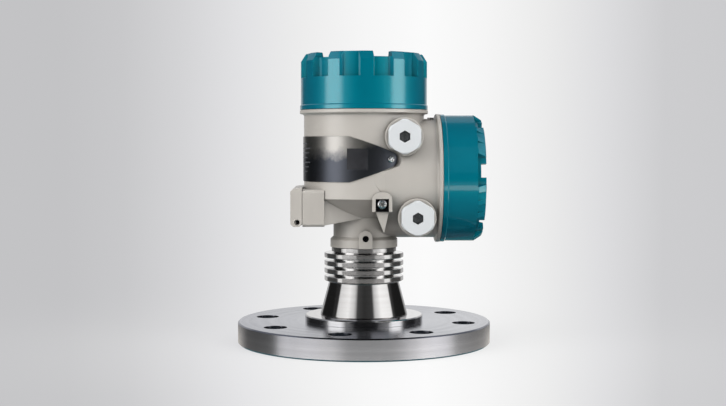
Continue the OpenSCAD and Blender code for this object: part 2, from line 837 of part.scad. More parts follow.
// Where the taper to a tip starts, and the points of the tip's round end
function plate_taper_x(side) =
    -side * (barrel_d / 2) * sin(plate_tip_a() - plate_straight_a);
function plate_lean() = atan2(plate_w / 2 - plate_tip_r, abs(plate_taper_x(1)));
function plate_tip_point(side, r, i) =
    let (a = (90 - plate_lean()) * i / 6) [side * r * cos(a), r * sin(a)];
// A point on the taper's line, outside the plate
function plate_taper_end(side, edge) =
    plate_tip_point(side, plate_tip_r, 6 * edge)
    + 60 * [-side * cos(plate_lean()), edge * sin(plate_lean())];

// Puts a shape at the axis of a nameplate screw, with +Z pointing out
module at_plate_screw(side) {
    rotate(plate_turn + side * plate_tip_a()) translate([0, 0, plate_mid_z()])
        along_minus_y() children();
}

module nameplate_screws() {
    color(pale_metal) for (side = [-1, 1]) at_plate_screw(side)
        translate([0, 0, barrel_d / 2 + plate_t + seat_gap / 2]) {
            head_dome(plate_screw_d, 1.5);
            translate([0, 0, -plate_shank_l])
                cylinder(d = plate_shank_d, h = plate_shank_l + 0.2, $fn = 32);
        }
}

// A round screw head with a rounded edge
module head_dome(d, h) {
    rotate_extrude($fn = 48) polygon(concat(
        [[0, 0], [d / 2, 0], [d / 2, h * 0.35]],
        arc_points(d / 2 - h * 0.65, h * 0.35, h * 0.65, 0, 90, 4),
        [[0, h]]));
}

module ground_clamp() {
    w = ground_pocket_w - 2 * run_gap;
    h = ground_pocket_h - run_gap;
    seat_y = -ground_y + ground_pocket_depth;
    color(dark_steel) difference() {
        union() {
            translate([ground_x - w / 2, seat_y - clamp_t, foot_z + ground_h])
                cube([w, clamp_t, h]);
            for (side = [-1, 1])
                translate([ground_x + side * (w / 2 - 0.6) - 0.6, seat_y - clamp_t - 2.2,
                           foot_z + ground_h])
                    cube([1.2, 2.4, 2.4]);
        }
        translate([ground_x, seat_y + 1, ground_screw_z()]) along_minus_y()
            cylinder(d = ground_screw_d + 2 * seat_gap, h = clamp_t + 5, $fn = 48);
    }
}

module ground_screw() {
    color(pale_metal)
        translate([ground_x, -ground_y + ground_pocket_depth - clamp_t, ground_screw_z()])
            along_minus_y() {
                head_dome(ground_head_d, 2.6);
                translate([0, 0, -8]) cylinder(d = ground_screw_d, h = 8.2, $fn = 48);
            }
}

module neck_lock_screw() {
    start = spigot_d / 2 + run_gap + fit_gap;
    color(dark_steel)
        translate([neck_screw_x, 0, foot_z + neck_screw_h()]) along_minus_y() difference() {
            translate([0, 0, start])
                cylinder(d = neck_screw_d - 2 * fit_gap, h = neck_screw_l, $fn = 48);
            translate([0, 0, start + neck_screw_l / 2])
                cylinder(d = neck_screw_d / 2, h = neck_screw_l, $fn = 6);
        }
}

module cover_lock_screws() {
    color(dark_steel) at_lock_screws() translate([0, 0, lock_screw_seat_h]) difference() {
        cylinder(d = lock_screw_d, h = lock_screw_l, $fn = 32);
        translate([0, 0, lock_screw_l / 2]) cylinder(d = lock_screw_d / 2, h = lock_screw_l, $fn = 6);
    }
}

module radar_module() {
    color(steel) difference() {
        cylinder_between(radar_d, chamber_floor_z, chamber_floor_z + radar_h);
        cylinder_between(guide_passage_d - 2, chamber_floor_z - 1, guide_top_z + 1);
    }
}

function cassette_z() = chamber_floor_z + radar_h;

module electronics_cassette() {
    end_x = partition_x - feed_head_l - 1;
    color(grey_plastic) translate([end_x - cassette_x, -cassette_y / 2, cassette_z()])
        cube([cassette_x, cassette_y, rim_z - thread_floor_h - cassette_z()]);
}

module display_module() {
    color(grey_plastic) difference() {
        rotate_extrude() polygon([
            [0, rim_z - thread_floor_h],
            [display_d / 2, rim_z - thread_floor_h],
            [display_d / 2, display_top_z() - 1.5],
            [display_d / 2 - 1.5, display_top_z()],
            [0, display_top_z()]]);
        translate([-window_w / 2, -window_l / 2, display_top_z() - window_t])
            cube([window_w, window_l, window_t + 1]);
    }
}

function display_top_z() = rim_z - thread_floor_h + display_h;

module display_window() {
    color("lightsteelblue")
        translate([-window_w / 2 + seat_gap, -window_l / 2 + seat_gap, display_top_z() - window_t])
            cube([window_w - 2 * seat_gap, window_l - 2 * seat_gap, window_t]);
}

module feedthrough() {
    color(amber_plastic) translate([partition_x, 0, side_z]) along_x() {
        translate([0, 0, -feed_head_l]) cylinder(d = feed_d + 4, h = feed_head_l);
        cylinder(d = feed_d, h = partition_t);
    }
}

module terminal_carrier() {
    color(grey_plastic) translate([partition_x + partition_t, 0, side_z]) along_x()
        cylinder(d = carrier_d, h = carrier_t);
}

module terminal_block() {
    x = partition_x + partition_t + carrier_t;
    color("seagreen") difference() {
        translate([x, -block_w / 2, side_z - block_h / 2]) cube([block_l, block_w, block_h]);
        for (i = [0:terminal_count - 1]) {
            translate([x + block_l - terminal_screw_l - 1, terminal_y(i), side_z + block_h / 4])
                along_x() cylinder(d = terminal_screw_d + 2 * seat_gap, h = terminal_screw_l + 2, $fn = 32);
            translate([x + 4, terminal_y(i) - 2.4, side_z - block_h / 2 - 1])
                cube([6, 4.8, block_h / 2]);
        }
    }
}

function terminal_y(i) = (i - (terminal_count - 1) / 2) * (block_w - 4) / terminal_count;

module terminal_screws() {
    x = partition_x + partition_t + carrier_t + block_l - terminal_screw_l - 1;
    color(steel) for (i = [0:terminal_count - 1])
        translate([x, terminal_y(i), side_z + block_h / 4]) along_x() difference() {
            cylinder(d = terminal_screw_d, h = terminal_screw_l, $fn = 32);
            translate([-terminal_screw_d, -0.4, terminal_screw_l - 1])
                cube([2 * terminal_screw_d, 0.8, 2]);
        }
}

// --------------------------------------------------------------------- covers

// A cover standing on its seam at z = 0, with its threaded sleeve below
module cover_blank(h) {
    rotate_extrude() polygon([
        [sleeve_bore_d / 2, -thread_l],
        [sleeve_d / 2 - 0.5, -thread_l],
        [sleeve_d / 2, -thread_l + 0.5],
        [sleeve_d / 2, -seal_groove_z - seal_groove_w],
        [seal_groove_d / 2, -seal_groove_z - seal_groove_w],
        [seal_groove_d / 2, -seal_groove_z],
        [sleeve_d / 2, -seal_groove_z],
        [sleeve_d / 2, run_gap],
        [cover_band_d / 2, run_gap],
        [cover_band_d / 2, cover_band_h],
        [cover_d / 2, cover_band_h + cover_band_step],
        [cover_d / 2, h - corner_h],
        [cover_d / 2 - corner_w, h - 0.6],
        [cover_d / 2 - corner_w - 0.6, h],
        [crown_bore_d / 2, h],
        [crown_bore_d / 2 - 1, h - crown_h],
        [0, h - crown_h],
        [0, h - crown_h - cover_roof_t],
        [sleeve_bore_d / 2 - 4, h - crown_h - cover_roof_t],
        [sleeve_bore_d / 2, h - crown_h - cover_roof_t - 4]
    ]);
}

// A slot in the plan of a cover, wider at the rim than at its floor
module slot_plan(floor_w, rim_w) {
    flare = (rim_w - floor_w) / 2 / slot_depth;
    out = slot_depth + 3;
    translate([slot_floor_d / 2, 0]) polygon([
        [-6, -floor_w / 2 + 6 * flare * 0.5], [0, -floor_w / 2],
        [out, -floor_w / 2 - out * flare], [out, floor_w / 2 + out * flare],
        [0, floor_w / 2], [-6, floor_w / 2 - 6 * flare * 0.5]]);
}

module grip_slots(h, count, length, floor_w, rim_w) {
    translate([0, 0, h - length]) linear_extrude(length + 1) difference() {
        for (i = [0:count - 1]) rotate(i * 360 / count) slot_plan(floor_w, rim_w);
        circle(d = slot_floor_d);
    }
}

// Notches that open the crown ring at every step-th slot
module crown_notches(h, count, w) {
    for (i = [0:count - 1]) rotate(i * 360 / count)
        translate([crown_bore_d / 2 - corner_h, -w / 2, h - crown_h])
            cube([(cover_d - crown_bore_d) / 2 + 2 * corner_h, w, crown_h + 1]);
}

module top_cover() {
    color(teal) translate([0, 0, rim_z]) rotate(top_cover_turn) difference() {
        cover_blank(top_cover_h);
        grip_slots(top_cover_h, top_slot_count, top_slot_l, top_slot_floor_w, top_slot_w);
        crown_notches(top_cover_h, top_slot_count / 2, top_notch_w);
    }
}

module grip_pockets(h) {
    step = 360 / side_slot_count;
    for (i = [0:side_slot_count - 1], side = [-1, 1])
        rotate((i + 0.5) * step + side * pocket_turn)
            translate([cover_d / 2 - 1.6, -pocket_w / 2, h - side_slot_l])
                rotate([0, -18, 0]) cube([4, pocket_w, side_slot_l + 3]);
}

module side_cover() {
    color(teal) translate([side_rim_x, 0, side_z]) along_x() rotate(90 - side_cover_turn) difference() {
        cover_blank(side_cover_h);
        grip_slots(side_cover_h, side_slot_count, side_slot_l, side_slot_floor_w, side_slot_w);
        crown_notches(side_cover_h, side_slot_count, side_notch_w);
        grip_pockets(side_cover_h);
    }
}

function cover_seal_z() = -seal_groove_z - seal_groove_w / 2;

module top_cover_seal() {
    color(black_rubber) translate([0, 0, rim_z + cover_seal_z()]) o_ring(seal_ring_d, cover_seal_d);
}

module side_cover_seal() {
    color(black_rubber) translate([side_rim_x + cover_seal_z(), 0, side_z])
        along_x() o_ring(seal_ring_d, cover_seal_d);
}

// ---------------------------------------------------------------------- plugs

module plug(x, h) {
    head_y = boss_y + plug_seal_t;
    bevel = (plug_corner_d - plug_af) / 2;
    color(pale_metal) translate([x, 0, foot_z + h]) along_minus_y() difference() {
        union() {
            intersection() {
                translate([0, 0, head_y]) rotate(30)
                    cylinder(d = plug_af / cos(30), h = plug_head_t, $fn = 6);
                translate([0, 0, head_y]) rotate_extrude() polygon([
                    [0, 0], [plug_corner_d / 2, 0],
                    [plug_corner_d / 2, plug_head_t - bevel],
                    [plug_corner_d / 2 - bevel, plug_head_t], [0, plug_head_t]]);
            }
            translate([0, 0, boss_y - plug_shank_l])
                cylinder(d = entry_d - 2 * run_gap, h = plug_shank_l + plug_seal_t + 1);
        }
        translate([0, 0, head_y + plug_head_t - plug_socket_depth]) rotate(30)
            cylinder(d = plug_socket_af / cos(30), h = plug_socket_depth + 1, $fn = 6);
    }
}

module plug_seal(x, h) {
    color(black_rubber) translate([x, -boss_y - plug_seal_t / 2, foot_z + h])
        along_minus_y() translate([0, 0, -plug_seal_t / 2])
            ring_cut(entry_d + run_gap, plug_af - 1, plug_seal_t);
}

module upper_plug() { plug(upper_entry_x, upper_entry_h); }
module lower_plug() { plug(lower_entry_x, lower_entry_h); }
module upper_plug_seal() { plug_seal(upper_entry_x, upper_entry_h); }
module lower_plug_seal() { plug_seal(lower_entry_x, lower_entry_h); }

// ------------------------------------------------------------------- key box

module key_membrane() {
    t = membrane_t - seat_gap;
    color(black_rubber) translate([-box_x + membrane_t, 0, key_z]) along_minus_x() difference() {
        linear_extrude(t) polygon(rounded_box(membrane_w() - 2 * seat_gap,
                                              membrane_l() - 2 * seat_gap, 2));
        for (i = [0:key_count - 1]) translate([0, key_y(i), -1])
            cylinder(d = key_d + 2 * run_gap, h = t + 2, $fn = 48);
    }
}

module push_key(i) {
    back = membrane_t + run_gap;
    color(grey_plastic) translate([-box_x, key_y(i), key_z]) along_minus_x() {
        translate([0, 0, -back - key_flange_t]) cylinder(d = key_flange_d, h = key_flange_t, $fn = 48);
        translate([0, 0, -back - eps]) rotate_extrude($fn = 48) polygon([
            [0, 0], [key_d / 2, 0], [key_d / 2, back + key_proud - 0.4],
            [key_d / 2 - 0.4, back + key_proud], [0, back + key_proud - 0.3]]);
    }
}

module key_1() { push_key(0); }
module key_2() { push_key(1); }
module key_3() { if (key_count > 2) push_key(2); }
module key_4() { if (key_count > 3) push_key(3); }

module key_cover_pin() {
    color(steel) translate([hinge_x, box_w / 2 - 2.4, hinge_z]) along_minus_y()
        cylinder(d = key_pin_d, h = box_w - 4.8, $fn = 48);
}

// The cover's section across its hinge, with x from the hinge and y up
module key_cover_section() {
    right = knuckle_r;
    left = knuckle_r - key_cover_t;
    top = box_l + key_lip_h - knuckle_r;
    foot_chamfer = 2.2;
    polygon(concat(
        arc_points(0, 0, knuckle_r, 270, 360, 8),
        [[right, top], [left + key_cover_chamfer, top - 0.8],
         [left, top - 0.8 - key_cover_chamfer],
         [left, -knuckle_r + foot_chamfer], [left + foot_chamfer, -knuckle_r]]));
}

module key_cover() {
    w = box_w - 0.6;
    hollow_z0 = knuckle_r + 1.2;
    hollow_z1 = box_l - knuckle_r - 8;
    color(beige) translate([hinge_x, 0, hinge_z]) difference() {
        translate([0, w / 2, 0]) along_minus_y() linear_extrude(w) key_cover_section();
        translate([knuckle_r - key_cover_hollow, -(membrane_l() + 2) / 2, hollow_z0])
            cube([key_cover_hollow + 1, membrane_l() + 2, hollow_z1 - hollow_z0]);
        translate([0, w / 2 + 1, 0]) along_minus_y()
            cylinder(d = key_pin_d + 2 * fit_gap, h = w + 2, $fn = 48);
        for (side = [-1, 1]) translate([0, side * (w / 2 - 2.2), 0]) along_minus_y()
            translate([-0.5, 0, side > 0 ? -3 : 0]) cylinder(d = key_pin_d + 1.2, h = 3, $fn = 48);
        for (side = [-1, 1])
            translate([-knuckle_r + 0.3, side * hinge_lug_gap / 2 - hinge_lug_w / 2 - run_gap,
                       -knuckle_r - 1])
                cube([2 * knuckle_r + 1, hinge_lug_w + 2 * run_gap, 2 * knuckle_r + 0.7]);
        translate([knuckle_r - key_cover_t - 1, 0, latch_z() - hinge_z]) along_x() {
            cylinder(d = 4.2, h = key_cover_t + 2, $fn = 48);
            cylinder(d = 7.2, h = 4, $fn = 48);
        }
    }
}

module key_cover_screw() {
    color(steel) translate([hinge_x + knuckle_r - key_cover_t, 0, latch_z()]) along_x()
        difference() {
            union() {
                translate([0, 0, 0.5]) cylinder(d = 7, h = 2.5 - seat_gap, $fn = 48);
                translate([0, 0, 2]) cylinder(d = 4, h = key_cover_t - 1, $fn = 48);
            }
            cylinder(d = 3.4, h = 2, $fn = 6);
        }
}

// ---------------------------------------------------------------------- parts

process_flange();
collar_plate();
transition_cone();
cooling_neck();
antenna_lens();
lens_seal();
feed_horn();
wave_guide();
process_seal();
swivel_ring();
neck_seal();
housing();
nameplate();
nameplate_screws();
ground_clamp();
ground_screw();
neck_lock_screw();
cover_lock_screws();
radar_module();
electronics_cassette();
display_module();
display_window();
feedthrough();
terminal_carrier();
terminal_block();
terminal_screws();
key_membrane();
key_cover_pin();
top_cover();
top_cover_seal();
side_cover();
side_cover_seal();
upper_plug();
upper_plug_seal();
lower_plug();
lower_plug_seal();
key_cover();
key_cover_screw();
key_1();
key_2();
key_3();
key_4();
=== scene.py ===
"""Radar level transmitter: finishes, threads, screw heads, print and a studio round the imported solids."""

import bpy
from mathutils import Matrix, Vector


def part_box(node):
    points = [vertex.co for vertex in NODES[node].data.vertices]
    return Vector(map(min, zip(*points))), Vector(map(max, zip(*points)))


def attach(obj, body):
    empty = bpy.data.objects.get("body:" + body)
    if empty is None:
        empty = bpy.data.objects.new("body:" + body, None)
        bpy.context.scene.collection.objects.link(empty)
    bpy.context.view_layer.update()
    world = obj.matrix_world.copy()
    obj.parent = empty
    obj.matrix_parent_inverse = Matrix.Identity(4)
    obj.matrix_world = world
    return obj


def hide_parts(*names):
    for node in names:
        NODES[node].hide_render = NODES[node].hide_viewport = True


bl_info = {
    "name": "Radar level transmitter",
    "version": (1, 0, 0),
    "blender": (4, 5, 0),
    "location": "3D View > Sidebar > Transmitter",
    "description": "Finishes and small detail of a flanged radar level transmitter",
    "category": "Object",
}

import bpy
import numpy as np
from bpy.props import FloatProperty, FloatVectorProperty, IntProperty, PointerProperty
from mathutils import Euler, Vector

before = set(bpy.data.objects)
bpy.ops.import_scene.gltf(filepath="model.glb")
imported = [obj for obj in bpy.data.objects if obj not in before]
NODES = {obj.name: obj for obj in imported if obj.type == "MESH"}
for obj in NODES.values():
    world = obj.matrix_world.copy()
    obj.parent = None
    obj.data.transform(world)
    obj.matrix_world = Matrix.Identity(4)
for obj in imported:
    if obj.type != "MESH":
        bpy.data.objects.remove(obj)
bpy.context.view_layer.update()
MM = 0.001
# A face counts as level where its normal's upward part is more than this
LEVEL_FACE = 0.7


def place(node):
    """A node's box as two numpy corners and its middle, in metres."""
    low, high = (np.array(c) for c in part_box(node))
    return low, high, (low + high) / 2


# ------------------------------------------------------------------ node trees

def linear(colour):
    """An sRGB hex colour, such as '#7F7F7F', as linear red, green, blue and alpha."""
    parts = [int(colour[i:i + 2], 16) / 255 for i in (1, 3, 5)]
    return tuple(c / 12.92 if c <= 0.04045 else ((c + 0.055) / 1.055) ** 2.4 for c in parts) + (1.0,)


def add(tree, kind, inputs=None, stops=(), **settings):
    """Adds a node with its properties and its inputs: a value, a socket, or a node that gives its first output.

    Stops are a ramp's positions from 0 to 1, each with a linear colour.
    """
    node = tree.nodes.new(kind)
    for name, value in settings.items():
        setattr(node, name, value)
    while stops and len(node.color_ramp.elements) < len(stops):
        node.color_ramp.elements.new(0.5)
    for i, (position, colour) in enumerate(stops):
        node.color_ramp.elements[i].position, node.color_ramp.elements[i].color = position, colour
    for key, value in (inputs or {}).items():
        if isinstance(value, bpy.types.Node):
            value = value.outputs[0]
        if isinstance(value, bpy.types.NodeSocket):
            tree.links.new(value, node.inputs[key])
        else:
            node.inputs[key].default_value = value
    return node


def blank_material(name):
    """A material without nodes, and its tree."""
    finish = bpy.data.materials.new(name)
    finish.use_nodes = True
    finish.node_tree.nodes.clear()
    return finish, finish.node_tree


def material(name, tone, roughness, metallic=0.0, **sockets):
    """A material whose shader has its linear tone and plain values; returns it, its tree and its shader."""
    finish, tree = blank_material(name)
    values = {"Base Color": tone, "Roughness": roughness, "Metallic": metallic}
    values.update({k.replace("_", " "): v for k, v in sockets.items()})
    shader = add(tree, "ShaderNodeBsdfPrincipled", values)
    add(tree, "ShaderNodeOutputMaterial", {"Surface": shader})
    finish.diffuse_color = tone
    return finish, tree, shader


def blobs(spot, spacing_mm, detail=2.0):
    """What a noise needs at a spot for its blobs to be about spacing_mm apart."""
    return {"Vector": spot, "Scale": 1 / (spacing_mm * MM), "Detail": detail, "Roughness": 0.55}


def coordinates(tree, scale=(1, 1, 1)):
    """Object coordinates in metres times a scale."""
    source = add(tree, "ShaderNodeTexCoord").outputs["Object"]
    return add(tree, "ShaderNodeMapping", {"Vector": source, "Scale": scale})


def vary(tree, shader, socket, factor, low, high):
    """Runs a number socket from low to high as factor goes from 0 to 1."""
    level = add(tree, "ShaderNodeMapRange", {"Value": factor, "To Min": low, "To Max": high})
    tree.links.new(level.outputs[0], shader.inputs[socket])


def tint(tree, shader, factor, dark, light, start=0.3, end=0.7):
    """Runs the base colour between two linear tones as factor goes from start to end; returns the ramp."""
    ramp = add(tree, "ShaderNodeValToRGB", {"Fac": factor}, [(start, dark), (end, light)])
    tree.links.new(ramp.outputs[0], shader.inputs["Base Color"])
    return ramp


def relief(tree, shader, heights, edge_mm=0.0):
    """Stacks bumps, each a (height, depth in mm), over edges that are rounded by edge_mm."""
    normal = {}
    if edge_mm:
        normal = {"Normal": add(tree, "ShaderNodeBevel", {"Radius": edge_mm * MM}, samples=6)}
    for height, depth_mm in heights:
        bump = {"Height": height, "Distance": depth_mm * MM, "Strength": 1.0, **normal}
        normal = {"Normal": add(tree, "ShaderNodeBump", bump)}
    tree.links.new(normal["Normal"].outputs[0], shader.inputs["Normal"])


def along_profile(tree):
    """The way the tool went: the distance from the Z axis on level faces, and height on walls and cones."""
    spot = coordinates(tree)
    height = add(tree, "ShaderNodeSeparateXYZ", {"Vector": spot}).outputs["Z"]
    flat = add(tree, "ShaderNodeVectorMath", {0: spot, 1: (1, 1, 0)}, operation="MULTIPLY")
    radius = add(tree, "ShaderNodeVectorMath", {0: flat}, operation="LENGTH").outputs["Value"]
    normal = add(tree, "ShaderNodeNewGeometry").outputs["True Normal"]
    upward = add(tree, "ShaderNodeSeparateXYZ", {"Vector": normal}).outputs["Z"]
    steep = add(tree, "ShaderNodeMath", {0: upward}, operation="ABSOLUTE")
    level = add(tree, "ShaderNodeMath", {0: steep, 1: LEVEL_FACE}, operation="GREATER_THAN")
    return add(tree, "ShaderNodeMix", {0: level, 2: height, 3: radius})


# ------------------------------------------------------------------- materials

def powder_coat(name, tone, roughness, specular, sheen_tone, gloss, edge_mm, peel_mm):
    """Polyester powder coat on a die casting: satin, with soft orange peel, and painted shade that darkens it
    down in the corners.

    The peel's bumps are 2.2 mm apart and the powder's grain is 0.35 mm; the tone drifts over patches of 34 mm.
    """
    finish, tree, shader = material(
        name, tone, roughness, IOR=1.8, Specular_IOR_Level=specular, Specular_Tint=linear(sheen_tone),
        Coat_Weight=gloss, Coat_Roughness=0.1, Coat_IOR=1.75)
    spot = coordinates(tree)
    dull = tuple(0.9 * c for c in tone[:3]) + (1.0,)
    paint = tint(tree, shader, add(tree, "ShaderNodeTexNoise", blobs(spot, 34)), dull, tone)
    # Painted shade: the paint falls to half its tone where the AO finds other faces within 16 mm, in corners,
    # recesses and under overhangs
    painted_shade_ao = add(tree, "ShaderNodeAmbientOcclusion", {"Distance": 16 * MM}, samples=8).outputs["AO"]
    shade = add(tree, "ShaderNodeMapRange", {
        "Value": painted_shade_ao, "From Min": 0.3, "From Max": 0.75, "To Min": 0.5, "To Max": 1.0})
    shaded = add(tree, "ShaderNodeVectorMath", {0: paint, "Scale": shade}, operation="SCALE")
    tree.links.new(shaded.outputs[0], shader.inputs["Base Color"])
    peel = add(tree, "ShaderNodeTexNoise", blobs(spot, 2.2, 1.0))
    grain = add(tree, "ShaderNodeTexNoise", blobs(spot, 0.35, 1.0))
    clouds = add(tree, "ShaderNodeTexNoise", blobs(spot, 9))
    vary(tree, shader, "Roughness", clouds, roughness - 0.02, roughness + 0.03)
    relief(tree, shader, [(peel, peel_mm), (grain, 0.002)], edge_mm)
    return finish


def turned_steel(name, dark, light, roughness, pitch_mm, depth_mm, anisotropy, edge_mm=0.35):
    """Austenitic stainless steel off the lathe: rings round the axis spread a reflection across them.

    A finishing cut leaves rings about 0.1 mm apart, and pitch_mm draws them coarser, so that they show.
    """
    dark, light = linear(dark), linear(light)
    finish, tree, shader = material(
        name, light, roughness, 1.0, Anisotropic=anisotropy, Anisotropic_Rotation=0.25)
    distance = along_profile(tree)
    fine, broad = (
        add(tree, "ShaderNodeTexNoise", {"W": distance, "Scale": 1 / (pitch * MM), "Detail": 3.0},
            noise_dimensions="1D")
        for pitch in (pitch_mm, 9 * pitch_mm))
    tint(tree, shader, broad, dark, light)
    clouds = add(tree, "ShaderNodeTexNoise", blobs(coordinates(tree), 22))
    vary(tree, shader, "Roughness", clouds, roughness * 0.85, roughness * 1.2)
    relief(tree, shader, [(fine, depth_mm)], edge_mm)
    tangent = add(tree, "ShaderNodeTangent", direction_type="RADIAL", axis="Z")
    tree.links.new(tangent.outputs[0], shader.inputs["Tangent"])
    return finish


def anodised_plate(name):
    """Aluminium nameplate, brushed along its length and anodised dark, with a painted reflection that makes it
    pale in places.

    The painted reflection is at its upper edge and fades towards the tip, with clouds 7 mm apart. The brush's
    strokes are about 0.1 mm apart on the real plate, and are drawn 0.3 mm apart, so that they show.
    """
    finish, tree, shader = material(name, linear("#55565C"), 0.3, 1.0)
    spot = coordinates(tree)
    at = add(tree, "ShaderNodeSeparateXYZ", {"Vector": spot})
    low, high, _ = place("nameplate")
    # Painted reflection: the plate is pale towards its upper edge and dark towards its tip and its foot, broken
    # up by clouds
    rise = add(tree, "ShaderNodeMapRange", {
        "Value": at.outputs["Z"], "From Min": float(low[2]), "From Max": float(high[2]), "To Min": -0.36,
        "To Max": 1.04})
    wane = add(tree, "ShaderNodeMapRange", {
        "Value": at.outputs["X"], "From Min": -8 * MM, "From Max": 14 * MM, "To Min": 0.0, "To Max": -0.55})
    clouds = add(tree, "ShaderNodeTexNoise", blobs(spot, 7, 4.0))
    cloud = add(tree, "ShaderNodeMath", {0: clouds, 1: 0.5, 2: -0.25}, operation="MULTIPLY_ADD")
    # The pale share is a painted reflection of a softbox, not the plate's own colour
    painted_reflection = add(tree, "ShaderNodeMath", {0: rise, 1: wane}, operation="ADD")
    painted_reflection = add(tree, "ShaderNodeMath", {0: painted_reflection, 1: cloud}, operation="ADD")
    tint(tree, shader, painted_reflection, linear("#565961"), linear("#B4B1AD"))
    strokes = add(tree, "ShaderNodeTexNoise", blobs(coordinates(tree, (0.05, 0.05, 1.0)), 0.3, 3.0))
    vary(tree, shader, "Roughness", strokes, 0.26, 0.38)
    relief(tree, shader, [(strokes, 0.003)], 0.15)
    return finish


def plug_head(name):
    """Bead-blasted nickel plate: an even, pale satin, with painted shade that darkens it down in the hexagon
    socket.
    """
    pale = linear("#D6D9DB")
    finish, tree, shader = material(name, pale, 0.45, 0.1)
    # Painted shade: the tone runs down to near black where the AO finds the socket's walls within 7 mm
    painted_shade_ao = add(tree, "ShaderNodeAmbientOcclusion", {"Distance": 7 * MM}, samples=12).outputs["AO"]
    tint(tree, shader, painted_shade_ao, linear("#202427"), pale, 0.34, 0.62)
    blasting = add(tree, "ShaderNodeTexNoise", blobs(coordinates(tree), 0.35))
    relief(tree, shader, [(blasting, 0.004)], 0.3)
    return finish


def plated(name, dark, light, roughness, edge_mm=0.25):
    """Nickel or zinc plate over turned metal: bright, with a faint grain and a soft edge."""
    dark, light = linear(dark), linear(light)
    finish, tree, shader = material(name, light, roughness, 1.0)
    spot = coordinates(tree)
    tint(tree, shader, add(tree, "ShaderNodeTexNoise", blobs(spot, 5)), dark, light)
    smears = add(tree, "ShaderNodeTexNoise", blobs(spot, 2))
    vary(tree, shader, "Roughness", smears, roughness * 0.85, roughness * 1.15)
    relief(tree, shader, [(add(tree, "ShaderNodeTexNoise", blobs(spot, 0.4)), 0.004)], edge_mm)
    return finish


def moulded(name, dark, light, roughness, grain_mm=0.6, depth_mm=0.01):
    """Moulded plastic or rubber: an even colour with the fine spark-eroded grain of its tool."""
    dark, light = linear(dark), linear(light)
    finish, tree, shader = material(name, light, roughness, IOR=1.5)
    spot = coordinates(tree)
    tint(tree, shader, add(tree, "ShaderNodeTexNoise", blobs(spot, 14)), dark, light)
    flow = add(tree, "ShaderNodeTexNoise", blobs(spot, 3))
    vary(tree, shader, "Roughness", flow, roughness - 0.05, roughness + 0.06)
    relief(tree, shader, [(add(tree, "ShaderNodeTexNoise", blobs(spot, grain_mm)), depth_mm)])
    return finish


def clear_window(name):
    """Clear polycarbonate over a dark display: glossy, faintly green and almost see-through."""
    finish, tree, shader = material(name, linear("#C9D6CE"), 0.05, IOR=1.58, Transmission_Weight=0.85)
    waves = add(tree, "ShaderNodeTexNoise", blobs(coordinates(tree), 18))
    relief(tree, shader, [(waves, 0.01)])
    return finish


def sealing_glass(name):
    """Sealing glass fused round the guide: dark, dense and glossy, with a few seeds in it."""
    finish, tree, shader = material(name, linear("#33414B"), 0.12, IOR=1.52)
    spot = coordinates(tree)
    seeds = add(tree, "ShaderNodeTexNoise", blobs(spot, 1.2))
    tint(tree, shader, seeds, linear("#28343D"), linear("#40505C"))
    relief(tree, shader, [(add(tree, "ShaderNodeTexNoise", blobs(spot, 3)), 0.02)])
    return finish


def dress(node, finish):
    """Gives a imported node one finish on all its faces."""
    mesh = NODES[node].data
    mesh.materials.clear()
    mesh.materials.append(finish)


# -------------------------------------------------------------------- surfaces

def grid_faces(rows, columns, close_rows=False, close_columns=False):
    """Quads over a grid of points, numbered row by row, whose rows or columns may close on themselves."""
    i = np.arange(rows if close_rows else rows - 1)[:, None]
    j = np.arange(columns if close_columns else columns - 1)[None, :]
    a = i * columns + j
    b = i * columns + (j + 1) % columns
    c = (i + 1) % rows * columns + (j + 1) % columns
    d = (i + 1) % rows * columns + j
    return np.stack([a, b, c, d], -1).reshape(-1, 4)


def build(name, points, faces, finish, body, slot_name, smooth=True):
    """Makes one object from points in metres and quads or triangles; slot_name, its place in its mesh, is not
    used.
    """
    mesh = bpy.data.meshes.new(name)
    mesh.vertices.add(len(points))
    mesh.vertices.foreach_set("co", np.asarray(points, np.float32).ravel())
    sizes = np.array([len(f) for f in faces], np.int32)
    loops = np.concatenate([np.asarray(f, np.int32) for f in faces])
    mesh.loops.add(len(loops))
    mesh.loops.foreach_set("vertex_index", loops)
    mesh.polygons.add(len(sizes))
    mesh.polygons.foreach_set("loop_start", np.concatenate([[0], np.cumsum(sizes)[:-1]]).astype(np.int32))
    mesh.polygons.foreach_set("loop_total", sizes)
    mesh.polygons.foreach_set("use_smooth", np.full(len(sizes), smooth))
    mesh.update(calc_edges=True)
    mesh.validate()
    mesh.materials.append(finish)
    piece = bpy.data.objects.new(name, mesh)
    bpy.context.scene.collection.objects.link(piece)
    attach(piece, body)
    return piece


def merged(parts):
    """Joins (points, faces) pairs into one pair."""
    points, faces, start = [], [], 0
    for p, f in parts:
        points.append(p)
        faces.extend((np.asarray(q) + start) for q in f)
        start += len(p)
    return np.concatenate(points), faces


def basis(axis):
    """Three unit vectors as rows: two across the axis and the axis itself, right-handed."""
    w = np.asarray(axis, float)
    w = w / np.linalg.norm(w)
    u = np.cross((0.0, 0.0, 1.0) if abs(w[2]) < 0.9 else (0.0, 1.0, 0.0), w)
    u = u / np.linalg.norm(u)
    return np.stack([u, np.cross(w, u), w])


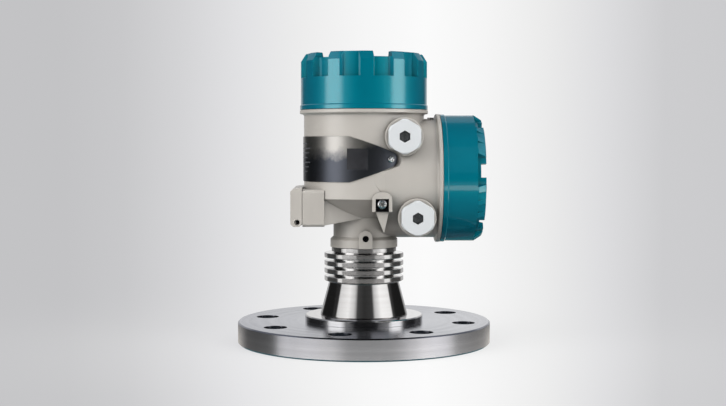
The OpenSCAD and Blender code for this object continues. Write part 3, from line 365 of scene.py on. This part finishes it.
def helix(radius, start, length, pitch, depth, foot, centre, axis, steps_per_turn=96):
    """A thread's ridge: a low trapezium carried along a helix, and run out in half a turn at each end."""
    turns = length / pitch
    n = int(steps_per_turn * turns) + 1
    t = np.linspace(0, turns, n)
    fade = np.clip(np.minimum(t, turns - t) * 2, 0.02, 1)
    across = np.array([-0.5, -0.2, 0.2, 0.5]) * foot
    rise = np.array([-0.15, 1.0, 1.0, -0.15]) * depth
    r = radius + rise[None, :] * fade[:, None]
    z = start + t[:, None] * pitch + across[None, :]
    a = 2 * np.pi * t[:, None]
    local = np.stack([r * np.cos(a), r * np.sin(a), np.broadcast_to(z, r.shape)], -1)
    points = local.reshape(-1, 3) @ basis(axis) + np.asarray(centre)
    faces = list(grid_faces(n, 4, close_columns=True)[:, ::-1])
    faces += [np.array([0, 1, 2, 3]), np.array([3, 2, 1, 0]) + (n - 1) * 4]
    return points, faces


def arc_bar(r0, r1, z0, z1, a0, a1, steps=24):
    """A closed bar bent round the Z axis: the rectangle r0..r1 by z0..z1 carried from angle a0 to a1."""
    a = np.linspace(a0, a1, steps)[:, None]
    r = np.array([r0, r1, r1, r0])[None, :]
    z = np.array([z0, z0, z1, z1])[None, :]
    points = np.stack([r * np.cos(a), r * np.sin(a), np.broadcast_to(z, (steps, 4))], -1).reshape(-1, 3)
    faces = list(grid_faces(steps, 4, close_columns=True)[:, ::-1])
    faces += [np.array([0, 1, 2, 3]), np.array([3, 2, 1, 0]) + (steps - 1) * 4]
    return points, faces


def cross_head(diameter, height, centre, axis, turn, slot_w, slot_l, slot_deep):
    """A pan head: a dome, 1 - s^3.2 under a root, over a polar grid, pressed down smoothly inside a cross.

    The cross is two slots, of half width slot_w and half length slot_l; s is the share of the radius.
    """
    s = np.concatenate([np.linspace(0.0, 0.8, 22), np.linspace(0.82, 1.0, 8)])[:, None]
    a = np.linspace(0, 2 * np.pi, 97)[:-1][None, :]
    radius = s * diameter / 2 + 0 * a
    dome = height * (0.42 + 0.58 * np.sqrt(np.clip(1 - s ** 3.2, 0, 1))) + 0 * a
    x, y = radius * np.cos(a), radius * np.sin(a)
    arm = np.minimum(np.maximum(abs(x) / slot_w, abs(y) / slot_l), np.maximum(abs(x) / slot_l, abs(y) / slot_w))
    press = np.clip((1.0 - arm) / 0.35, 0, 1)
    top = np.stack([x, y, dome - slot_deep * press * press * (3 - 2 * press)], -1)
    foot = np.stack([x[-1], y[-1], 0 * x[-1]], -1)[None]
    local = np.concatenate([top, foot, foot * [[[0.0, 0.0, 1.0]]]]).reshape(-1, 3)
    spin = np.array([[np.cos(turn), np.sin(turn), 0], [-np.sin(turn), np.cos(turn), 0], [0, 0, 1]])
    points = local @ spin @ basis(axis) + np.asarray(centre)
    return points, list(grid_faces(len(s) + 2, 96, close_columns=True))


# ------------------------------------------------------------------- settings

class TransmitterSizes(bpy.types.PropertyGroup):
    thread_pitch: FloatProperty(
        name="Thread pitch", description="Pitch of the cover and plug threads", default=1.5 * MM, unit="LENGTH")
    thread_depth: FloatProperty(
        name="Thread depth", description="Height of a thread's ridge that clears its bore", default=0.2 * MM,
        unit="LENGTH")
    print_depth: FloatProperty(
        name="Print depth", description="Thickness of the print on the nameplate", default=0.03 * MM,
        unit="LENGTH")
    print_lines: IntProperty(
        name="Print lines", description="Number of plain bars beside the field on the nameplate", default=7)


class TransmitterColours(bpy.types.PropertyGroup):
    cover: FloatVectorProperty(
        name="Cover", description="Powder coat of the two covers", subtype="COLOR", size=4, min=0, max=1,
        default=linear("#006279"))
    housing: FloatVectorProperty(
        name="Housing", description="Powder coat of the housing", subtype="COLOR", size=4, min=0, max=1,
        default=linear("#BAB5AE"))


# ----------------------------------------------------------------------- stage

# Camera: its distance from the neck's axis, its height, turn and pitch, and its field
CAMERA_REACH, CAMERA_HEIGHT = 1.0, 0.1568
CAMERA_TURN, CAMERA_PITCH = np.radians(-1.0), np.radians(-2.67)
CAMERA_ASIDE = -0.00071
FOCAL_MM, SENSOR_MM = 62.48, 36.0


def build_camera():
    """The camera, turned and pitched towards the part's middle."""
    data = bpy.data.cameras.new("camera")
    data.lens, data.sensor_width = FOCAL_MM, SENSOR_MM
    data.clip_start, data.clip_end = 0.05, 60.0
    camera = bpy.data.objects.new("camera", data)
    bpy.context.scene.collection.objects.link(camera)
    camera.location = (CAMERA_REACH * np.sin(CAMERA_TURN) + CAMERA_ASIDE, -CAMERA_REACH * np.cos(CAMERA_TURN),
                       CAMERA_HEIGHT)
    camera.rotation_euler = Euler((np.pi / 2 + CAMERA_PITCH, 0.0, CAMERA_TURN))
    bpy.context.scene.camera = camera


# Softboxes: turn from the camera's side in degrees, distance, width, foot and top height, and radiance
SOFTBOXES = (
    ("softbox_left", -57.0, 2.0, 2.3, 0.5, 2.1, 3.9),
    ("softbox_right", 49.0, 2.0, 1.7, 0.3, 2.1, 3.6),
)
# The lamp above: its height, how far in front it hangs, where it points, its width and its radiance
TOP_HEIGHT, TOP_AHEAD, TOP_AIM, TOP_WIDTH, TOP_RADIANCE = 1.7, 0.5, (0, 0, 0.1), 1.6, 0.8


def area_lamp(name, where, target, width, height, radiance):
    """A rectangular lamp that faces its target and isn't seen itself."""
    data = bpy.data.lights.new(name, "AREA")
    data.shape, data.size, data.size_y = "RECTANGLE", width, height
    data.energy = radiance * np.pi * width * height
    lamp = bpy.data.objects.new(name, data)
    bpy.context.scene.collection.objects.link(lamp)
    lamp.location = where
    lamp.rotation_euler = (Vector(where) - Vector(target)).to_track_quat("Z", "Y").to_euler()
    lamp.visible_camera = lamp.visible_glossy = False


def build_lamps():
    """Two upright softboxes in front and one above."""
    for name, turn, reach, width, foot, top, radiance in SOFTBOXES:
        a, middle = np.radians(turn), (foot + top) / 2
        where = (reach * np.sin(a), -reach * np.cos(a), middle)
        area_lamp(name, where, (0, 0, middle), width, top - foot, radiance)
    area_lamp("softbox_top", (0.0, -TOP_AHEAD, TOP_HEIGHT), TOP_AIM, TOP_WIDTH, TOP_WIDTH, TOP_RADIANCE)


# The sweep's glowing tone across the set, a painted fall-off of light that darkens towards its sides: the
# tangent of the turn from the middle, and a grey
SWEEP_TONES = (
    (-0.219, "#C3C3C5"), (-0.172, "#C8C8CA"), (-0.124, "#D4D4D6"), (-0.0765, "#E2E2E4"), (-0.029, "#EDEDED"),
    (0.0187, "#F6F6F6"), (0.0664, "#FBFBFB"), (0.114, "#F5F5F5"), (0.1616, "#EBEBEB"), (0.209, "#DDDDDF"),
    (0.257, "#CDCDCF"), (0.3046, "#CBCBCD"),
)
# The tangent at the ramp's ends, and the least depth that a direction is divided by
SWEEP_REACH, LEAST_DEPTH = 0.35, 0.02
# What the set gives off to the part's matt faces
AMBIENT = 0.42
# The painted floor: how much of its own shading it shows by the part, and how far out that fades; half its
# width, and how far below the part it lies
FLOOR_SHARE, FLOOR_FADE = 0.3, 0.22
FLOOR_HALF, FLOOR_BELOW = 30.0, 0.2 * MM


def sweep_tone(tree, x, y):
    """The sweep's tone in the direction that goes x across and y into the set."""
    depth = add(tree, "ShaderNodeMath", {0: y}, operation="ABSOLUTE")
    depth = add(tree, "ShaderNodeMath", {0: depth, 1: LEAST_DEPTH}, operation="MAXIMUM")
    ratio = add(tree, "ShaderNodeMath", {0: x, 1: depth}, operation="DIVIDE")
    along = add(tree, "ShaderNodeMath", {0: ratio, 1: 0.5 / SWEEP_REACH, 2: 0.5}, operation="MULTIPLY_ADD")
    stops = [(0.5 + 0.5 * tangent / SWEEP_REACH, linear(tone)) for tangent, tone in SWEEP_TONES]
    return add(tree, "ShaderNodeValToRGB", {"Fac": along}, stops)


def seen_rays(tree):
    """1 for rays that show the set itself: the camera's, mirrored and passed ones."""
    path = add(tree, "ShaderNodeLightPath")
    seen = path.outputs["Is Camera Ray"]
    for ray in ("Is Glossy Ray", "Is Transmission Ray"):
        seen = add(tree, "ShaderNodeMath", {0: seen, 1: path.outputs[ray]}, operation="MAXIMUM")
    return seen


def build_sweep():
    """The world and a floor that runs into it with the same tones, but takes the part's shadow near by."""
    world = bpy.data.worlds.new("studio")
    bpy.context.scene.world = world
    world.use_nodes = True
    tree = world.node_tree
    tree.nodes.clear()
    way = add(tree, "ShaderNodeSeparateXYZ", {"Vector": add(tree, "ShaderNodeTexCoord").outputs["Generated"]})
    shown = add(tree, "ShaderNodeBackground", {"Color": sweep_tone(tree, way.outputs["X"], way.outputs["Y"])})
    soft = add(tree, "ShaderNodeBackground", {"Color": linear("#FFFFFF"), "Strength": AMBIENT})
    mixed = add(tree, "ShaderNodeMixShader", {0: seen_rays(tree), 1: soft, 2: shown})
    add(tree, "ShaderNodeOutputWorld", {"Surface": mixed})

    finish, tree = blank_material("painted_studio_floor")
    spot = coordinates(tree)
    at = add(tree, "ShaderNodeSeparateXYZ", {"Vector": spot})
    aside = CAMERA_REACH * float(np.sin(CAMERA_TURN))
    across = add(tree, "ShaderNodeMath", {0: at.outputs["X"], 1: aside}, operation="SUBTRACT")
    into = add(tree, "ShaderNodeMath", {0: at.outputs["Y"], 1: CAMERA_REACH}, operation="ADD")
    # The floor glows with the sweep's tones: painted light, not light from the lamps
    glow = add(tree, "ShaderNodeEmission", {"Color": sweep_tone(tree, across, into)})
    seen = seen_rays(tree)
    paint = add(tree, "ShaderNodeMix", {0: seen, 6: linear("#B4B4B4"), 7: linear("#F2F2F2")}, data_type="RGBA")
    matt = add(tree, "ShaderNodeBsdfDiffuse", {"Color": paint.outputs[2]})
    # The share of glow is 1 far out, and falls by FLOOR_SHARE under the part as exp(-(distance / FLOOR_FADE)^2)
    out = add(tree, "ShaderNodeVectorMath", {0: spot}, operation="LENGTH").outputs["Value"]
    out = add(tree, "ShaderNodeMath", {0: out, 1: FLOOR_FADE}, operation="DIVIDE")
    out = add(tree, "ShaderNodeMath", {0: out, 1: 2.0}, operation="POWER")
    out = add(tree, "ShaderNodeMath", {0: out, 1: -1.0}, operation="MULTIPLY")
    near = add(tree, "ShaderNodeMath", {0: out}, operation="EXPONENT")
    share = add(tree, "ShaderNodeMath", {0: near, 1: -FLOOR_SHARE, 2: 1.0}, operation="MULTIPLY_ADD")
    share = add(tree, "ShaderNodeMath", {0: seen, 1: share}, operation="MULTIPLY")
    mixed = add(tree, "ShaderNodeMixShader", {0: share, 1: matt, 2: glow})
    add(tree, "ShaderNodeOutputMaterial", {"Surface": mixed})
    corners = [(x * FLOOR_HALF, y * FLOOR_HALF, -FLOOR_BELOW) for x, y in ((-1, -1), (1, -1), (1, 1), (-1, 1))]
    stage_piece("studio_floor", corners, [np.arange(4)], finish).visible_glossy = False


def stage_piece(name, points, faces, finish):
    """A piece of the set, which isn't part of the object."""
    mesh = bpy.data.meshes.new(name)
    mesh.from_pydata([tuple(p) for p in points], [], [tuple(int(i) for i in f) for f in faces])
    mesh.materials.append(finish)
    piece = bpy.data.objects.new(name, mesh)
    bpy.context.scene.collection.objects.link(piece)
    return piece


# The ring that only mirrors see: its radius and its greatest radiance; and its zones, each with its foot and top
# height, its tone, and its radiance at some turns in degrees
RING_REACH, RING_PEAK = 2.0, 3.0
RING_ZONES = (
    ("ring_flange", -0.6, -0.282, "#FFF9EE", (
        (-180, 0.75), (-148, 0.75), (-130, 0.27), (-111, 0.28), (-92, 0.38), (-86, 0.6), (-78, 1.6), (-66, 1.7),
        (-51, 2.1), (-31, 2.2), (-13, 1.4), (5, 1.4), (33, 1.6), (53, 2.9), (74, 2.2), (92, 1.2), (114, 0.82),
        (134, 0.8), (148, 0.9), (180, 0.75))),
    ("ring_collar", -0.282, -0.205, "#FFFAF8", (
        (-180, 0.4), (-140, 0.1), (-84, 0.05), (-80, 1.2), (-26, 1.15), (-20, 0.5), (-14, 0.05), (24, 0.05),
        (34, 1.0), (38, 1.2), (82, 1.25), (86, 0.06), (140, 0.1), (180, 0.4))),
    ("ring_fins", -0.205, -0.103, "#FFFFFF", (
        (-180, 0.6), (-137, 0.6), (-131, 0.09), (-84, 0.06), (-80, 1.1), (-69, 1.1), (-65, 0.22), (-30, 0.26),
        (0, 0.2), (30, 0.26), (58, 0.22), (62, 1.1), (78, 1.1), (82, 0.07), (130, 0.09), (136, 0.6),
        (180, 0.6))),
    ("ring_land", -0.103, -0.04, "#FFFFFF", (
        (-180, 0.4), (-140, 0.1), (-90, 0.04), (-86, 1.1), (-25, 1.1), (-20, 0.12), (28, 0.12), (34, 1.1),
        (84, 1.1), (89, 0.04), (140, 0.1), (180, 0.4))),
    ("ring_covers", -0.04, 0.5, "#FFFFFF", (
        (-150, 0.15), (-140, 0.015), (-96, 0.015), (-88, 0.05), (-77, 0.25), (-72, 1.7), (-68, 2.4), (-47, 2.4),
        (-42, 1.6), (-36, 0.25), (-24, 0.06), (-16, 0.0), (26, 0.0), (38, 0.08), (46, 0.25), (51, 1.6),
        (56, 2.4), (70, 2.4), (75, 1.7), (80, 0.2), (90, 0.03), (96, 0.015), (140, 0.015), (150, 0.3))),
    ("ring_cone", 0.5, 1.0, "#FFFFFF", (
        (-136, 0.03), (-82, 0.03), (-79, 0.95), (-74, 1.0), (-46, 1.3), (-30, 0.9), (-24, 0.5), (-20, 0.08),
        (0, 0.04), (24, 0.06), (30, 0.75), (34, 0.9), (49, 1.4), (70, 1.3), (81, 1.2), (84, 0.06),
        (118, 0.02))),
    ("ring_top", 1.0, 3.4, "#F2F5FF", (
        (-180, 0.3), (-120, 0.3), (-100, 0.42), (-40, 0.5), (-26, 0.45), (-20, 0.06), (20, 0.06), (26, 0.45),
        (60, 0.5), (100, 0.42), (120, 0.3), (180, 0.3))),
)
# What closes the ring, above and below
RING_LIDS = (("felt_above", "#0B0C0E", RING_ZONES[-1][2]), ("card_below", "#3C7880", RING_ZONES[0][1]))


def round_the_part(degrees):
    """Points on the ring's circle at turns from the camera's side, at height 0."""
    a = np.radians(degrees)
    return np.stack([RING_REACH * np.sin(a), -RING_REACH * np.cos(a), 0 * a], -1)


def build_cards():
    """The ring's zones, whose radiance runs round them, and its two lids."""
    for name, foot, top, tone, stops in RING_ZONES:
        finish, tree = blank_material("painted_" + name)
        at = add(tree, "ShaderNodeSeparateXYZ", {"Vector": coordinates(tree)})
        front = add(tree, "ShaderNodeMath", {0: at.outputs["Y"], 1: -1.0}, operation="MULTIPLY")
        turn = add(tree, "ShaderNodeMath", {0: at.outputs["X"], 1: front}, operation="ARCTAN2")
        turn = add(tree, "ShaderNodeMath", {0: turn, 1: 0.5 / np.pi, 2: 0.5}, operation="MULTIPLY_ADD")
        tones = [(degrees / 360 + 0.5, tuple(radiance / RING_PEAK * c for c in linear(tone)[:3]) + (1.0,))
                 for degrees, radiance in stops]
        ramp = add(tree, "ShaderNodeValToRGB", {"Fac": turn}, tones)
        glow = add(tree, "ShaderNodeEmission", {"Color": ramp, "Strength": RING_PEAK})
        add(tree, "ShaderNodeOutputMaterial", {"Surface": glow})
        row = round_the_part(np.linspace(stops[0][0], stops[-1][0], 73))
        points = np.concatenate([row + [0, 0, foot], row + [0, 0, top]])
        mirror_only(stage_piece(name, points, grid_faces(2, len(row)), finish))
    for name, tone, height in RING_LIDS:
        finish, tree = blank_material("painted_" + name)
        glow = add(tree, "ShaderNodeEmission", {"Color": linear(tone)})
        add(tree, "ShaderNodeOutputMaterial", {"Surface": glow})
        disc = round_the_part(np.arange(0, 360, 5)) + [0, 0, height]
        mirror_only(stage_piece(name, disc, [np.arange(len(disc))], finish))


def mirror_only(piece):
    """Leaves a piece of the set to mirrored rays alone."""
    piece.visible_camera = piece.visible_diffuse = piece.visible_shadow = piece.visible_transmission = False


class TRANSMITTER_OT_stage(bpy.types.Operator):
    """Builds the camera, the lamps, the sweep and the cards that the steel mirrors"""

    bl_idname = "transmitter.stage"
    bl_label = "Build the stage"

    def execute(self, context):
        build_camera()
        build_lamps()
        build_sweep()
        build_cards()
        context.scene.view_settings.view_transform = "Standard"
        return {"FINISHED"}


# -------------------------------------------------------------------- finishes

# Each finish by name, once it is made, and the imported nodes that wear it
FINISHES = {}
WEARS = {
    "flange": "process_flange",
    "neck": "collar_plate transition_cone cooling_neck",
    "guide": "feed_horn wave_guide",
    "lens": "antenna_lens",
    "rubber": "lens_seal neck_seal top_cover_seal side_cover_seal upper_plug_seal lower_plug_seal key_membrane",
    "glass": "process_seal",
    # The ground clamp is dark partly as painted shade: its blackened tone also stands in for the shadow in the
    # ground boss's pocket
    "black_steel": "swivel_ring ground_clamp neck_lock_screw key_cover_pin",
    "grey_coat": "housing key_cover",
    "teal_coat": "top_cover side_cover",
    "plate": "nameplate",
    "zinc": "nameplate_screws ground_screw terminal_screws key_cover_screw cover_lock_screws",
    "milled": "radar_module",
    "case": "electronics_cassette display_module terminal_carrier",
    "window": "display_window",
    "resin": "feedthrough",
    "green": "terminal_block",
    "nickel": "upper_plug lower_plug",
    "keys": "key_1 key_2 key_3 key_4",
}


def make_finishes(colours):
    """Makes every finish: the two coats take the user's colours."""
    teal, grey = tuple(colours.cover), tuple(colours.housing)
    FINISHES.update({
        "teal_coat": powder_coat("blue_green_powder_coat", teal, 0.4, 1.0, "#10F8FF", 0.9, 0.5, 0.012),
        "grey_coat": powder_coat("warm_grey_powder_coat", grey, 0.36, 0.65, "#FFFFFF", 0.0, 0.6, 0.02),
        "flange": turned_steel("faced_stainless_steel", "#9C9EA6", "#AAACB4", 0.2, 0.6, 0.001, 0.5),
        "neck": turned_steel("bright_turned_stainless_steel", "#CECCCB", "#D2D1D0", 0.09, 0.3, 0.00015, 0.4),
        "guide": turned_steel("polished_stainless_steel", "#D0D0D0", "#DCDCDC", 0.12, 0.3, 0.001, 0.3),
        "lens": moulded("machined_fluoropolymer", "#E6E5E0", "#F0EFEB", 0.42, 1.2, 0.006),
        "rubber": moulded("black_fluoro_rubber", "#0C0C0D", "#151516", 0.5, 0.5, 0.012),
        "glass": sealing_glass("fused_sealing_glass"),
        "black_steel": plated("blackened_steel", "#17171A", "#242427", 0.38, 0.1),
        "plate": anodised_plate("dark_anodised_plate"),
        "print": moulded("light_engraving", "#4E4F53", "#5C5D61", 0.5, 0.5, 0.002),
        "dark_print": moulded("dark_laser_mark", "#1E1E22", "#2C2C31", 0.45, 0.5, 0.002),
        "zinc": plated("zinc_plated_steel", "#B9BABD", "#DADBDD", 0.24, 0.12),
        "milled": plated("milled_aluminium_case", "#A9AAAC", "#C2C3C5", 0.34),
        "thread": plated("bare_cast_aluminium", "#8F9092", "#B4B5B7", 0.36, 0.05),
        "case": moulded("glass_filled_polyamide", "#303236", "#3E4045", 0.5),
        "window": clear_window("clear_polycarbonate"),
        "resin": moulded("potting_resin", "#5F421A", "#7A5724", 0.2, 2.0, 0.008),
        "green": moulded("green_polyamide", "#2C6B3D", "#367B49", 0.42),
        "nickel": plug_head("blasted_nickel_plate"),
        "keys": moulded("dark_grey_keycap_plastic", "#3A3C40", "#47494E", 0.45),
    })


class TRANSMITTER_OT_finishes(bpy.types.Operator):
    """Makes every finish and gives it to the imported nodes"""

    bl_idname = "transmitter.finishes"
    bl_label = "Finish the solids"

    def execute(self, context):
        make_finishes(context.scene.transmitter_colours)
        for finish, nodes in WEARS.items():
            for node in nodes.split():
                dress(node, FINISHES[finish])
        return {"FINISHED"}


# --------------------------------------------------------------- small details

# Threads, in metres: the sleeve's and the shank's radius, and where their threads start and how far they run
SLEEVE_R, SLEEVE_LEAD, SLEEVE_THREAD_L = 41.5 * MM, 0.9 * MM, 2.9 * MM
PLUG_SHANK_R, PLUG_LEAD, PLUG_THREAD_L = 9.7 * MM, 1.2 * MM, 9.0 * MM
# How wide a ridge's foot is, as a share of the pitch
SLEEVE_FOOT, SHANK_FOOT = 0.7, 0.8


class TRANSMITTER_OT_threads(bpy.types.Operator):
    """Cuts the ridges of the cover and plug threads"""

    bl_idname = "transmitter.threads"
    bl_label = "Cut the threads"

    def execute(self, context):
        sizes = context.scene.transmitter_sizes
        pitch, depth = sizes.thread_pitch, sizes.thread_depth
        for cover, axis in (("top_cover", 2), ("side_cover", 0)):
            low, _, end = place(cover)
            end[axis] = low[axis]
            points, faces = helix(
                SLEEVE_R, SLEEVE_LEAD, SLEEVE_THREAD_L, pitch, depth, SLEEVE_FOOT * pitch, end, np.eye(3)[axis])
            build(cover + "_thread", points, faces, FINISHES["thread"], cover + "_turn", "cover_paint")
        for plug in ("upper_plug", "lower_plug"):
            _, high, end = place(plug)
            end[1] = high[1]
            points, faces = helix(
                PLUG_SHANK_R, PLUG_LEAD, PLUG_THREAD_L, pitch, depth, SHANK_FOOT * pitch, end, (0, -1, 0))
            build(plug + "_thread", points, faces, FINISHES["nickel"], plug + "_turn", "plug_metal")
        return {"FINISHED"}


# Print on the nameplate: heights from its middle in metres, and turns from the front in degrees
BAR_TOP, BAR_STEP, BAR_H = 11.5 * MM, 3.6 * MM, 0.7 * MM
BAR_START, BAR_END, BAR_RAGGED = -92, -67, 3
FIELD_FOOT, FIELD_TOP, FIELD_START, FIELD_END = -7.8 * MM, 8.2 * MM, -16.5, 2.5
PRINT_SUNK = 0.02 * MM
# The nameplate's screws: their turns from the front, their heads' width and height, and their cross's turn in
# radians, and half its slot's width, half its length and its depth
PLATE_SCREW_TURNS = (24.47, -144.47)
PLATE_HEAD_D, PLATE_HEAD_H = 5.4 * MM, 1.5 * MM
PLATE_CROSS = (0.5, 0.55 * MM, 1.7 * MM, 0.9 * MM)


def from_front(degrees):
    """The angle round the Z axis, in radians, of a turn from the front."""
    return np.radians(degrees - 90)


class TRANSMITTER_OT_nameplate(bpy.types.Operator):
    """Adds the nameplate's plain bars, its plain field and its two cross-headed screws"""

    bl_idname = "transmitter.nameplate"
    bl_label = "Dress the nameplate"

    def execute(self, context):
        sizes = context.scene.transmitter_sizes
        low, _, middle = place("nameplate")
        middle_z, plate_r = middle[2], -low[0]
        inner, outer = plate_r - PRINT_SUNK, plate_r + sizes.print_depth
        bars = []
        for i in range(sizes.print_lines):
            foot = middle_z + BAR_TOP - i * BAR_STEP
            end = BAR_END + BAR_RAGGED * (i * 5 % 3)
            bars.append(arc_bar(inner, outer, foot, foot + BAR_H, from_front(BAR_START), from_front(end)))
        points, faces = merged(bars)
        build("nameplate_bars", points, faces, FINISHES["print"], "housing_unit", "plate_steel", smooth=False)
        field = arc_bar(
            inner, outer, middle_z + FIELD_FOOT, middle_z + FIELD_TOP, from_front(FIELD_START),
            from_front(FIELD_END))
        build("nameplate_field", *field, FINISHES["dark_print"], "housing_unit", "plate_steel", smooth=False)

        heads = []
        for turn in PLATE_SCREW_TURNS:
            a = from_front(turn)
            out = np.array([np.cos(a), np.sin(a), 0.0])
            seat = out * plate_r + [0, 0, middle_z]
            heads.append(cross_head(PLATE_HEAD_D, PLATE_HEAD_H, seat, out, *PLATE_CROSS))
        points, faces = merged(heads)
        screws = build("nameplate_cross_heads", points, faces, FINISHES["zinc"], "housing_unit", "screw_steel")
        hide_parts("nameplate_screws")
        return {"FINISHED"}


# The barrels, in metres: their radii, the side barrel's height, and where across they meet and its solid starts
UPRIGHT_R, SIDE_R, SIDE_Z = 47.4 * MM, 46.9 * MM, 130 * MM
X_MEET, X_SOLID = 6.95 * MM, 14.6 * MM
# The nameplate's lower edge over the side barrel's middle: its height where the barrels meet, and its slope
EDGE_H, EDGE_SLOPE = 4.0 * MM, 0.34
# How far the crescent stands proud of the barrels, and how deep it goes in
PROUD, SUNK = 0.02 * MM, 0.6 * MM


def junction(side, ceiling):
    """A closed crescent between the barrels, on a grid of x and height h over the side barrel's middle.

    Its face is y = side * sqrt(SIDE_R^2 - h^2), for h from -sqrt(x^2 - (UPRIGHT_R^2 - SIDE_R^2)) up to the same
    above the middle or the ceiling, whichever is lower.
    """
    x = np.linspace(X_MEET, X_SOLID, 20)[:, None]
    half = np.sqrt(x ** 2 - (UPRIGHT_R ** 2 - SIDE_R ** 2))
    high = np.minimum(half, ceiling(x))
    h = -half + (high + half) * np.linspace(0, 1, 16)[None, :]
    outer = np.sqrt(SIDE_R ** 2 - h ** 2) + PROUD
    inner = np.sqrt(UPRIGHT_R ** 2 - x ** 2) - SUNK + 0 * h
    loop_h = np.concatenate([h, h[:, ::-1]], 1)
    loop_y = side * np.concatenate([outer, inner], 1)
    loop = np.stack([x + 0 * loop_h, loop_y, SIDE_Z + loop_h], -1)
    n = loop.shape[1]
    faces = list(grid_faces(len(x), n, close_columns=True)[:, ::side])
    faces += [np.arange(n)[::-side], np.arange(n)[::side] + (len(x) - 1) * n]
    return loop.reshape(-1, 3), faces


class TRANSMITTER_OT_junction(bpy.types.Operator):
    """Blends the side barrel into the upright barrel, front and back, where the casting runs them together"""

    bl_idname = "transmitter.junction"
    bl_label = "Blend the barrels"

    def execute(self, context):
        front = junction(-1, lambda x: EDGE_H + EDGE_SLOPE * (x - X_MEET))
        back = junction(1, lambda x: SIDE_R + 0 * x)
        points, faces = merged([front, back])
        build("barrel_junction", points, faces, FINISHES["grey_coat"], "housing_unit", "housing_paint")
        return {"FINISHED"}


# The ground screw's head, as above
GROUND_HEAD_D, GROUND_HEAD_H = 7.4 * MM, 2.6 * MM
GROUND_CROSS = (0.35, 0.8 * MM, 2.4 * MM, 1.6 * MM)


class TRANSMITTER_OT_ground(bpy.types.Operator):
    """Adds the ground terminal's cross-headed screw"""

    bl_idname = "transmitter.ground"
    bl_label = "Dress the ground terminal"

    def execute(self, context):
        low, _, seat = place("ground_screw")
        seat[1] = low[1] + GROUND_HEAD_H
        points, faces = cross_head(GROUND_HEAD_D, GROUND_HEAD_H, seat, (0, -1, 0), *GROUND_CROSS)
        screw = build("ground_cross_head", points, faces, FINISHES["zinc"], "housing_unit", "screw_steel")
        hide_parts("ground_screw")
        return {"FINISHED"}


class TRANSMITTER_PT_panel(bpy.types.Panel):
    """Lists the steps that dress the transmitter"""

    bl_idname = "TRANSMITTER_PT_panel"
    bl_label = "Radar level transmitter"
    bl_space_type = "VIEW_3D"
    bl_region_type = "UI"
    bl_category = "Transmitter"

    def draw(self, context):
        for group in (context.scene.transmitter_sizes, context.scene.transmitter_colours):
            for name in group.__annotations__:
                self.layout.prop(group, name)
        for step in STEPS:
            self.layout.operator(step.bl_idname)


STEPS = (
    TRANSMITTER_OT_stage,
    TRANSMITTER_OT_finishes,
    TRANSMITTER_OT_threads,
    TRANSMITTER_OT_nameplate,
    TRANSMITTER_OT_junction,
    TRANSMITTER_OT_ground,
)
GROUPS = (TransmitterSizes, TransmitterColours)


def register():
    for c in GROUPS + STEPS + (TRANSMITTER_PT_panel,):
        bpy.utils.register_class(c)
    bpy.types.Scene.transmitter_sizes = PointerProperty(type=TransmitterSizes)
    bpy.types.Scene.transmitter_colours = PointerProperty(type=TransmitterColours)


def unregister():
    del bpy.types.Scene.transmitter_colours
    del bpy.types.Scene.transmitter_sizes
    for c in reversed(GROUPS + STEPS + (TRANSMITTER_PT_panel,)):
        bpy.utils.unregister_class(c)


def main():
    """Runs every step."""
    register()
    for step in STEPS:
        group, name = step.bl_idname.split(".")
        getattr(getattr(bpy.ops, group), name)()


if __name__ == "__main__":
    main()
